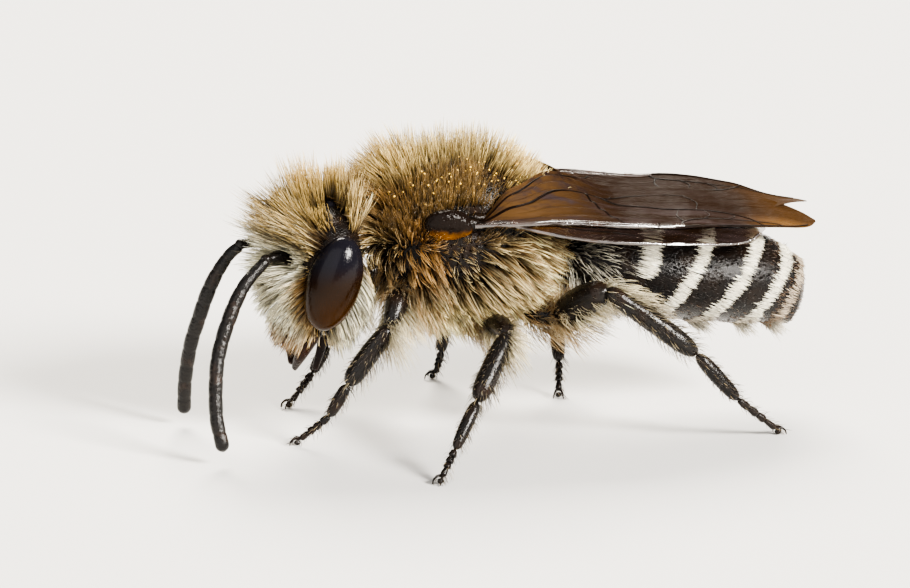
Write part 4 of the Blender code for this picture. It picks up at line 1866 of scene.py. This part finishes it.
@dataclass
class Wings:
    """A folded forewing with its hindwing under it, on one side."""

    side: str
    root_x: float = -0.8
    tip_x: float = 5.06
    climb: float = 0.42  # how far the inner edge rises over the shield near the root
    # how much higher the far side of the folded pair lies for each millimetre across, along X
    tilts: Marks = (
        (-0.8, 0.06), (0.5, 0.08), (1.15, 0.11), (2.2, 0.11), (3.4, 0.19), (4.2, 0.22), (5.06, 0.3),
    )
    thickness: float = 0.01
    crest: Marks = (
        (-0.83, 3.6), (-0.05, 3.62), (0.55, 3.64), (1.15, 3.62), (1.75, 3.55), (2.4, 3.49),
        (2.93, 3.47), (3.7, 3.36), (4.2, 3.29), (5.06, 3.14),
    )
    outer: Marks = (
        (-0.8, 1.22), (-0.55, 1.25), (-0.05, 1.31), (0.55, 1.35), (1.15, 1.36), (1.75, 1.35),
        (2.4, 1.27), (2.93, 1.14), (3.6, 0.96), (4.18, 0.8), (4.66, 0.64), (4.92, 0.5),
        (5.06, 0.32),
    )
    inner: Marks = (
        (-0.8, 1.02), (-0.55, 1.0), (-0.2, 0.93), (0.1, 0.78), (0.4, 0.5), (0.8, 0.2),
        (1.2, -0.12), (1.6, -0.34), (2.1, -0.44), (3.0, -0.38), (3.75, -0.28), (4.4, -0.12),
        (4.85, 0.06), (5.06, 0.26),
    )
    hind_outer: Marks = (
        (-0.4, 1.2), (0.0, 1.31), (0.45, 1.44), (1.0, 1.54), (1.73, 1.55), (2.4, 1.47),
        (3.28, 1.27), (3.8, 1.06), (4.1, 0.8),
    )
    hind_inner: Marks = (
        (-0.4, 1.16), (0.2, 0.95), (0.9, 0.52), (1.6, 0.22), (2.6, 0.05), (3.3, 0.08),
        (3.8, 0.3), (4.1, 0.62),
    )
    # veins: each a thickness and its marks, as shares along the wing and across it from the outer edge
    veins: tuple[tuple[float, Marks], ...] = (
        (0.044, ((0.0, 0.1), (0.1, 0.02), (0.3, 0.012), (0.45, 0.012), (0.56, 0.02))),
        (0.034, ((0.01, 0.4), (0.1, 0.15), (0.22, 0.1), (0.36, 0.075), (0.48, 0.06), (0.55, 0.04))),
        (0.056, ((0.515, 0.035), (0.54, 0.045), (0.565, 0.05), (0.59, 0.04))),
        (0.026, ((0.56, 0.02), (0.7, 0.015), (0.82, 0.02), (0.92, 0.04), (0.97, 0.1))),
        (0.028, ((0.02, 0.52), (0.08, 0.5), (0.16, 0.52), (0.24, 0.58), (0.31, 0.62), (0.365, 0.615))),
        (0.021, ((0.02, 0.7), (0.1, 0.78), (0.18, 0.86), (0.27, 0.93), (0.33, 0.96))),
        (0.022, ((0.335, 0.62), (0.36, 0.42), (0.39, 0.24), (0.43, 0.075))),
        (
            0.021,
            (
                (0.365, 0.615), (0.43, 0.53), (0.52, 0.46), (0.626, 0.39), (0.74, 0.36), (0.8, 0.23),
                (0.83, 0.04),
            ),
        ),
        (0.018, ((0.365, 0.615), (0.45, 0.7), (0.55, 0.77), (0.63, 0.74))),
        (0.017, ((0.63, 0.74), (0.66, 0.58), (0.65, 0.4))),
        (0.018, ((0.4, 0.6), (0.42, 0.7))),
        (0.018, ((0.58, 0.05), (0.6, 0.14), (0.66, 0.18), (0.78, 0.18), (0.86, 0.12), (0.89, 0.05))),
        (0.017, ((0.595, 0.13), (0.585, 0.28), (0.6, 0.41))),
        (0.017, ((0.66, 0.18), (0.68, 0.27), (0.67, 0.38))),
        (0.017, ((0.73, 0.18), (0.755, 0.27), (0.745, 0.36))),
    )
    hind_veins: tuple[tuple[float, Marks], ...] = (
        (0.034, ((0.0, 0.2), (0.1, 0.02), (0.3, 0.015), (0.55, 0.015), (0.8, 0.02), (0.97, 0.06))),
        (0.018, ((0.02, 0.45), (0.2, 0.2), (0.45, 0.12), (0.6, 0.05))),
        (0.016, ((0.03, 0.6), (0.25, 0.45), (0.5, 0.42), (0.75, 0.5))),
    )

    @property
    def sign(self) -> float:
        """-1 on the left side, and 1 on the right."""
        return -1.0 if self.side == "left" else 1.0

    def height(self, x: Numbers, y: Numbers, across: Numbers, hind: bool) -> Numbers:
        """The sheet's height: arched and pleated near its base, drooping at the hindwing's edge.

        Args:
            x: Each place along X.
            y: Each place along Y.
            across: Each place's share from the outer edge to the inner one.
            hind: Whether it is the hindwing.

        Returns:
            The heights.
        """
        crest = np.array(self.crest)
        wide = np.abs(y)
        plain = np.interp(x, *through(crest, 60).T) + np.interp(x, *np.array(self.tilts).T) * y
        arch = 0.03 + 0.12 * smooth(1.9, 0.2, x) * smooth(-0.8, 0.1, x)
        arch = arch * (1.0 - (wide / 1.35) ** 2).clip(0.0, 1.0)
        edge, fold = (np.interp(x, *through(marks, 120).T) for marks in (self.outer, self.inner))
        inward = np.clip((edge - self.sign * y) / (edge - fold), 0.0, 1.0)
        arch = arch + self.climb * smooth(0.0, 1.0, inward) * smooth(1.8, 0.4, x) * smooth(-0.75, -0.15, x)
        pleat = 0.016 * np.sin(across * 46.0) * smooth(-0.8, 0.3, x) * smooth(2.6, 1.0, x)
        ripple = 0.012 * np.sin(3.2 * x + 3.5 * y) * smooth(1.5, 3.5, x)
        # the left wing lies over the right one
        order = -0.045 * self.sign * smooth(5.0, 4.3, x)
        order = order - 0.4 * (self.sign > 0) * smooth(3.9, 5.0, x) * (y - 0.35)
        if hind:
            return plain + arch + order - 0.05 - 0.15 * smooth(-0.06, 0.2, wide - edge)
        return plain + arch + pleat + ripple + order

    def place(self, along: Numbers, across: Numbers, hind: bool = False) -> Numbers:
        """Carries shares along and across a wing to places in the bee's frame.

        Args:
            along: Shares from root to tip.
            across: Shares from the outer edge to the inner one.
            hind: Whether it is the hindwing.

        Returns:
            The places.
        """
        outer = through(self.hind_outer if hind else self.outer, 120)
        inner = through(self.hind_inner if hind else self.inner, 120)
        x = outer[0, 0] + along * (outer[-1, 0] - outer[0, 0])
        edge = np.interp(x, outer[:, 0], outer[:, 1])
        fold = np.interp(x, inner[:, 0], inner[:, 1])
        y = self.sign * (edge + (fold - edge) * across)
        return np.stack([x, y, self.height(x, y, across, hind)], axis=1)

    def sheet(self, bench: Bench, name: str, hind: bool) -> Piece:
        """Makes the clear sheet as a thin closed slab.

        Args:
            bench: Where it is made.
            name: The piece's name.
            hind: Whether it is the hindwing.

        Returns:
            The new piece.
        """
        bench.clear()
        bpy.ops.mesh.primitive_grid_add(x_subdivisions=120, y_subdivisions=64, size=1.0)
        piece = bpy.context.object
        piece.name = name

        def spread(places: Numbers) -> Numbers:
            """Carries the unit square to the wing, its columns closest near the root and the tip."""
            along, across = places[:, 0] + 0.5, places[:, 1] + 0.5
            return self.place(0.5 - 0.5 * np.cos(math.pi * along), across, hind)

        sculpt(piece, spread)
        bench.seal(piece, 1e-4)
        bench.pick(piece)
        wall = piece.modifiers.new("wall", "SOLIDIFY")
        wall.thickness = self.thickness
        wall.offset = 0.0
        bpy.ops.object.modifier_apply(modifier=wall.name)
        return bench.seal(piece, 1e-6)

    def ribs(self, bench: Bench, name: str, chosen: slice, chosen_hind: slice) -> Piece:
        """Makes the veins as raised tubes on both sheets.

        Args:
            bench: Where they are made.
            name: The piece's name.
            chosen: Which of the forewing's veins.
            chosen_hind: Which of the hindwing's veins.

        Returns:
            The new piece.
        """
        tubes = []
        for hind, veins in ((False, self.veins[chosen]), (True, self.hind_veins[chosen_hind])):
            for thick, marks in veins:
                line = through(marks, max(10, 7 * len(marks)))
                places = self.place(line[:, 0], line[:, 1], hind)
                radii = thick * np.linspace(1.0, 0.66, len(places))
                tubes.append(bench.tube("vein", places, radii, 8))
        return bench.join(name, tubes)

    def build(
        self,
        bench: Bench,
        membranes: tuple[Material, Material],
        edge: Material,
        vein: Material,
    ) -> None:
        """Makes the forewing, the hindwing below and the veins of both.

        Args:
            bench: Where they are made.
            membranes: The finish of the forewing's sheet and of the hindwing's.
            edge: The finish of the veins along the leading edges.
            vein: The finish of the other veins.
        """
        for hind, kind in ((False, "forewing"), (True, "hindwing")):
            sheet = self.sheet(bench, f"{kind}_sheet_{self.side}", hind)
            bench.fine(sheet, membranes[hind], Slot.WING, [f"{kind}_{self.side}"], sharp=SHADE_ALL)
        leading = self.ribs(bench, f"wing_edge_{self.side}", slice(0, 3), slice(0, 1))
        bench.fine(leading, edge, Slot.WING, sharp=60.0)
        others = self.ribs(bench, f"wing_veins_{self.side}", slice(3, None), slice(1, None))
        bench.fine(others, vein, Slot.WING, sharp=60.0)


@dataclass
class Tegula:
    """The shell scale over a wing's root, with the small plates of the hinge behind it."""

    side: str
    place: tuple[float, float, float] = (-1.22, 1.1, 3.6)
    reach: tuple[float, float, float] = (0.4, 0.19, 0.29)

    def build(self, bench: Bench, amber: Material, shell: Material) -> None:
        """Makes the scale and the hinge.

        Args:
            bench: Where they are made.
            amber: The scale's finish.
            shell: The hinge's finish.
        """
        sign = -1.0 if self.side == "left" else 1.0
        x, y, z = self.place
        tilt = Matrix.Rotation(math.radians(-28) * sign, 4, "X") @ Matrix.Rotation(math.radians(10), 4, "Y")
        scale = bench.ball(f"tegula_scale_{self.side}", (x, sign * y, z), self.reach, tilt, 40)
        bench.pull(scale, (x + 0.25, sign * (y + 0.1), z - 0.08), (0.05, sign * 0.03, -0.03), 0.25)
        bench.fine(scale, amber, Slot.SHELL, [f"tegula_{self.side}"], sharp=SHADE_ALL)
        knobs = [
            bench.ball("knob", (x + 0.36, sign * (y + 0.03), z - 0.02), (0.2, 0.09, 0.12), tilt, 24),
            bench.ball("knob", (x + 0.58, sign * (y - 0.12), z + 0.06), (0.24, 0.08, 0.06), tilt, 24),
            bench.ball("knob", (x + 0.56, sign * (y + 0.08), z - 0.02), (0.2, 0.06, 0.05), tilt, 24),
        ]
        bench.fine(bench.join(f"wing_hinge_{self.side}", knobs), shell, Slot.SHELL, sharp=SHADE_ALL)


@dataclass
class Pollen:
    """Loose golden grains caught in the coat."""

    grains: int = 170
    size: tuple[float, float] = (0.009, 0.018)
    # the region they lie in, as low and high corners in the bee's own frame
    low: tuple[float, float, float] = (-2.1, -0.95, 3.55)
    high: tuple[float, float, float] = (0.1, 0.95, 4.55)

    def build(self, bench: Bench, skin: Skin, finish: Material) -> None:
        """Scatters small many-sided grains over a skin, copied from one.

        Args:
            bench: Where they are made.
            skin: The surface they lie over.
            finish: Their material.
        """
        dice = np.random.default_rng(5)
        places, outs = skin.scatter(dice, self.grains * 8)
        places = places + outs * dice.uniform(0.1, 0.34, (len(places), 1))
        inside = ((places > self.low) & (places < self.high)).all(axis=1)
        bench.clear()
        bpy.ops.mesh.primitive_ico_sphere_add(subdivisions=1, radius=1.0)
        seed = bpy.context.object
        grains = []
        for place in places[inside][: self.grains]:
            grain = bpy.data.objects.new("grain", seed.data.copy())
            bpy.context.scene.collection.objects.link(grain)
            grain.matrix_world = Matrix.Translation(place) @ Matrix.Scale(dice.uniform(*self.size), 4)
            grains.append(grain)
        bpy.data.objects.remove(seed)
        for grain in grains:
            grain.select_set(True)
        bpy.context.view_layer.objects.active = grains[0]
        bpy.ops.object.transform_apply(location=True, rotation=True, scale=True)
        bench.fine(bench.join("pollen_grains", grains), finish, Slot.FUR, sharp=SHADE_ALL)


# ---------------------------------------------------------------- studio


@dataclass
class Studio:
    """The plain pale floor, the soft lamps and the camera."""

    azimuth: float = math.radians(-12)
    elevation: float = math.radians(16)
    distance: float = 120.0
    view_width: float = 14.83
    sensor: float = 36.0
    # where the middle of the view lies from the point of the floor under the thorax's middle, across and up
    aim_across: float = -0.854
    aim_up: float = 1.987
    world_strength: float = 0.26

    def floor(self) -> None:
        """Lays a wide level floor."""
        bpy.ops.mesh.primitive_circle_add(vertices=96, radius=4.0, fill_type="NGON")
        ground = bpy.context.object
        ground.name = "floor"
        ground.data.materials.append(Paper().build())

    def lamp(self, name: str, toward: Row, away: float, size: float, watts: float, tint: Colour) -> None:
        """Hangs one square soft box.

        Args:
            name: Its name.
            toward: The direction from the bee to it.
            away: How far off it hangs, in metres.
            size: How wide it is, in metres.
            watts: Its power.
            tint: Its colour.
        """
        data = bpy.data.lights.new(name, "AREA")
        data.shape, data.size, data.energy, data.color = "SQUARE", size, watts, tint
        box = bpy.data.objects.new(name, data)
        direction = Vector(toward).normalized()
        box.location = direction * away + Vector((0.0, 0.0, 0.0025))
        box.rotation_mode = "QUATERNION"
        box.rotation_quaternion = direction.to_track_quat("Z", "Y")
        bpy.context.scene.collection.objects.link(box)

    def light(self) -> None:
        """Hangs a key lamp towards the tail, a wide fill towards the head and a rim on the far side."""
        self.lamp("key", (0.6, -0.62, 0.52), 0.36, 0.104, 5.44, (1.0, 0.96, 0.9))
        self.lamp("fill", (-0.6, -0.85, 0.6), 0.48, 0.6, 2.08, (1.0, 0.99, 0.97))
        self.lamp("rim", (0.1, 0.85, 0.8), 0.4, 0.2, 4.8, (1.0, 0.94, 0.84))
        world = bpy.data.worlds.new("studio_world")
        world.use_nodes = True
        world.node_tree.nodes["Background"].inputs["Color"].default_value = (0.93, 0.93, 0.92, 1.0)
        world.node_tree.nodes["Background"].inputs["Strength"].default_value = self.world_strength
        bpy.context.scene.world = world
        bpy.context.scene.view_settings.look = "AgX - Medium High Contrast"

    def camera(self, bench: Bench) -> None:
        """Sets a long lens on the bee's left, a little ahead of it and above.

        Args:
            bench: Where the bee stands.
        """
        a, e = self.azimuth, self.elevation
        back = Vector((math.sin(a) * math.cos(e), -math.cos(a) * math.cos(e), math.sin(e)))
        right = Vector((math.cos(a), math.sin(a), 0.0))
        over = back.cross(right)
        target = (bench.shift + right * self.aim_across + over * self.aim_up) * METRES
        data = bpy.data.cameras.new("camera")
        data.sensor_width = self.sensor
        data.lens = self.sensor * self.distance / self.view_width
        data.clip_start, data.clip_end = 0.001, 20.0
        camera = bpy.data.objects.new("camera", data)
        camera.location = target + back * self.distance * METRES
        camera.rotation_mode = "QUATERNION"
        camera.rotation_quaternion = back.to_track_quat("Z", "Y")
        bpy.context.scene.collection.objects.link(camera)
        bpy.context.scene.camera = camera

    def build(self, bench: Bench) -> None:
        """Sets up the floor, the lamps and the camera.

        Args:
            bench: Where the bee stands.
        """
        bench.clear()
        self.floor()
        self.light()
        self.camera(bench)


# ---------------------------------------------------------------- everything together


SHELLS: tuple[Chitin, ...] = (
    Chitin("body_shell", roughness=0.1, shine=0.3, pits_per_mm=14.0, pit_depth=0.034, bend=1.33),
    Chitin(
        "plate_shell", (0.0034, 0.0028, 0.0026), (0.01, 0.0055, 0.003),
        roughness=0.08, shine=0.45, uneven=0.1, pits_per_mm=14.0, pit_depth=0.036, bend=1.28,
    ),
    Chitin(
        "leg_shell", warm=(0.016, 0.008, 0.004), warmth=0.4,
        roughness=0.13, shine=0.4, pits_per_mm=22.0, pit_depth=0.018, bend=1.36,
    ),
    Chitin(
        "mouth_shell", (0.007, 0.003, 0.002), (0.026, 0.009, 0.003),
        shine=0.35, pit_depth=0.02, bend=1.3,
    ),
    Chitin(
        "edge_shell", (0.014, 0.007, 0.004), (0.06, 0.022, 0.007),
        roughness=0.12, shine=1.0, pit_depth=0.002, bend=1.75,
    ),
    Chitin(
        "vein_shell", (0.003, 0.0016, 0.001), (0.01, 0.004, 0.002),
        roughness=0.35, shine=0.2, pit_depth=0.003, bend=1.2,
    ),
)

LEGS: tuple[Leg, ...] = (
    Leg(
        "front", "left",
        (
            (-1.85, -0.6, 2.5), (-2.17, -1.15, 1.98), (-2.89, -1.22, 1.07),
            (-3.18, -1.12, 0.52), (-3.6, -0.92, 0.12),
        ),
        femur=0.2, tibia=0.185, basitarsus=0.115, tuft=0.52, tuft_spread=6.0, fullness=0.85,
    ),
    Leg(
        "front", "right",
        (
            (-1.6, 0.45, 2.3), (-2.15, 1.28, 1.96), (-2.72, 1.38, 0.98),
            (-2.98, 1.32, 0.53), (-3.34, 1.2, 0.12),
        ),
        femur=0.2, tibia=0.175, basitarsus=0.115, tuft=0.4,
    ),
    Leg(
        "middle", "left",
        (
            (-0.45, -0.7, 1.82), (-0.43, -2.0, 1.99), (-1.08, -2.68, 1.12),
            (-1.54, -3.12, 0.46), (-1.78, -3.34, 0.12),
        ),
        femur=0.2, tibia=0.195, basitarsus=0.12, tuft=0.34, tuft_spread=9.0, fullness=0.3,
    ),
    Leg(
        "middle", "right",
        (
            (-0.45, 0.7, 1.95), (-0.52, 1.85, 2.2), (-0.6, 2.18, 0.98),
            (-0.63, 2.24, 0.48), (-0.71, 2.29, 0.12),
        ),
        femur=0.22, tibia=0.195, basitarsus=0.12, tuft=0.36,
    ),
    Leg(
        "hind", "left",
        (
            (0.56, -0.85, 1.8), (1.2, -1.92, 2.6), (2.64, -2.1, 1.5),
            (3.34, -2.14, 0.69), (4.0, -1.93, 0.12),
        ),
        femur=0.3, tibia=0.195, basitarsus=0.135, tuft=0.36, fullness=0.16,
    ),
    Leg(
        "hind", "right",
        (
            (0.34, 0.8, 1.88), (0.98, 1.98, 2.35), (1.14, 1.45, 1.1),
            (1.12, 1.14, 0.52), (1.06, 0.9, 0.12),
        ),
        femur=0.29, tibia=0.195, basitarsus=0.135, tuft=0.36,
    ),
)

ANTENNAE: tuple[Antenna, ...] = (
    Antenna(
        "left",
        (
            (-4.13, -0.7, 3.04), (-4.45, -0.85, 2.77), (-4.64, -0.95, 2.5), (-4.78, -1.05, 2.23),
            (-4.9, -1.15, 1.96), (-5.01, -1.27, 1.63), (-5.06, -1.38, 1.33), (-5.09, -1.5, 1.02),
            (-5.09, -1.6, 0.71), (-5.04, -1.7, 0.41), (-5.01, -1.75, 0.24),
        ),
        ((-3.6, -0.42, 2.88), (-3.8, -0.5, 3.06), (-4.1, -0.67, 3.07)),
    ),
    Antenna(
        "right",
        (
            (-4.39, 0.15, 3.08), (-4.55, 0.2, 2.93), (-4.75, 0.25, 2.61), (-4.9, 0.3, 2.26),
            (-5.03, 0.36, 1.84), (-5.13, 0.42, 1.49), (-5.19, 0.48, 1.14), (-5.23, 0.53, 0.78),
            (-5.24, 0.57, 0.44), (-5.24, 0.6, 0.2),
        ),
        ((-3.68, 0.24, 2.88), (-4.02, 0.2, 3.12), (-4.36, 0.15, 3.12)),
    ),
)


def main() -> None:
    """Builds the bee and its studio."""
    logging.basicConfig(level=logging.INFO, format="%(name)s: %(message)s")
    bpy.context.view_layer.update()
    bench = Bench()
    shell = {finish.name: finish.build() for finish in SHELLS}
    hair, gloss, amber = HairSheen().build(), EyeGloss().build(), Amber().build()
    down = FeelerDown().build()
    tip_x, root_x = Wings.tip_x + bench.shift.x, Wings.root_x + bench.shift.x
    membranes = (
        Membrane("forewing_membrane", tip_x, root_x).build(),
        Membrane(
            "hindwing_membrane", tip_x, root_x, root=(0.06, 0.026, 0.007), dense=0.36, clear=0.36
        ).build(),
    )
    skin = Thorax().build(bench, shell["body_shell"], hair)
    LOG.info("thorax built")
    Pollen().build(bench, skin, PollenGold().build())
    LOG.info("pollen scattered")
    Head().build(bench, shell["body_shell"], gloss, shell["mouth_shell"], hair)
    LOG.info("head built")
    for antenna in ANTENNAE:
        antenna.build(bench, shell["leg_shell"], down)
        LOG.info("antenna %s built", antenna.side)
    Abdomen().build(bench, shell["plate_shell"], hair)
    LOG.info("abdomen built")
    for leg in LEGS:
        leg.build(bench, shell["leg_shell"], hair)
        LOG.info("%s leg %s built", leg.pair, leg.side)
    for side in ("left", "right"):
        Wings(side).build(bench, membranes, shell["edge_shell"], shell["vein_shell"])
        Tegula(side).build(bench, amber, shell["plate_shell"])
        LOG.info("wings %s built", side)
    Studio().build(bench)
    LOG.info("studio set")


if __name__ == "__main__":
    main()
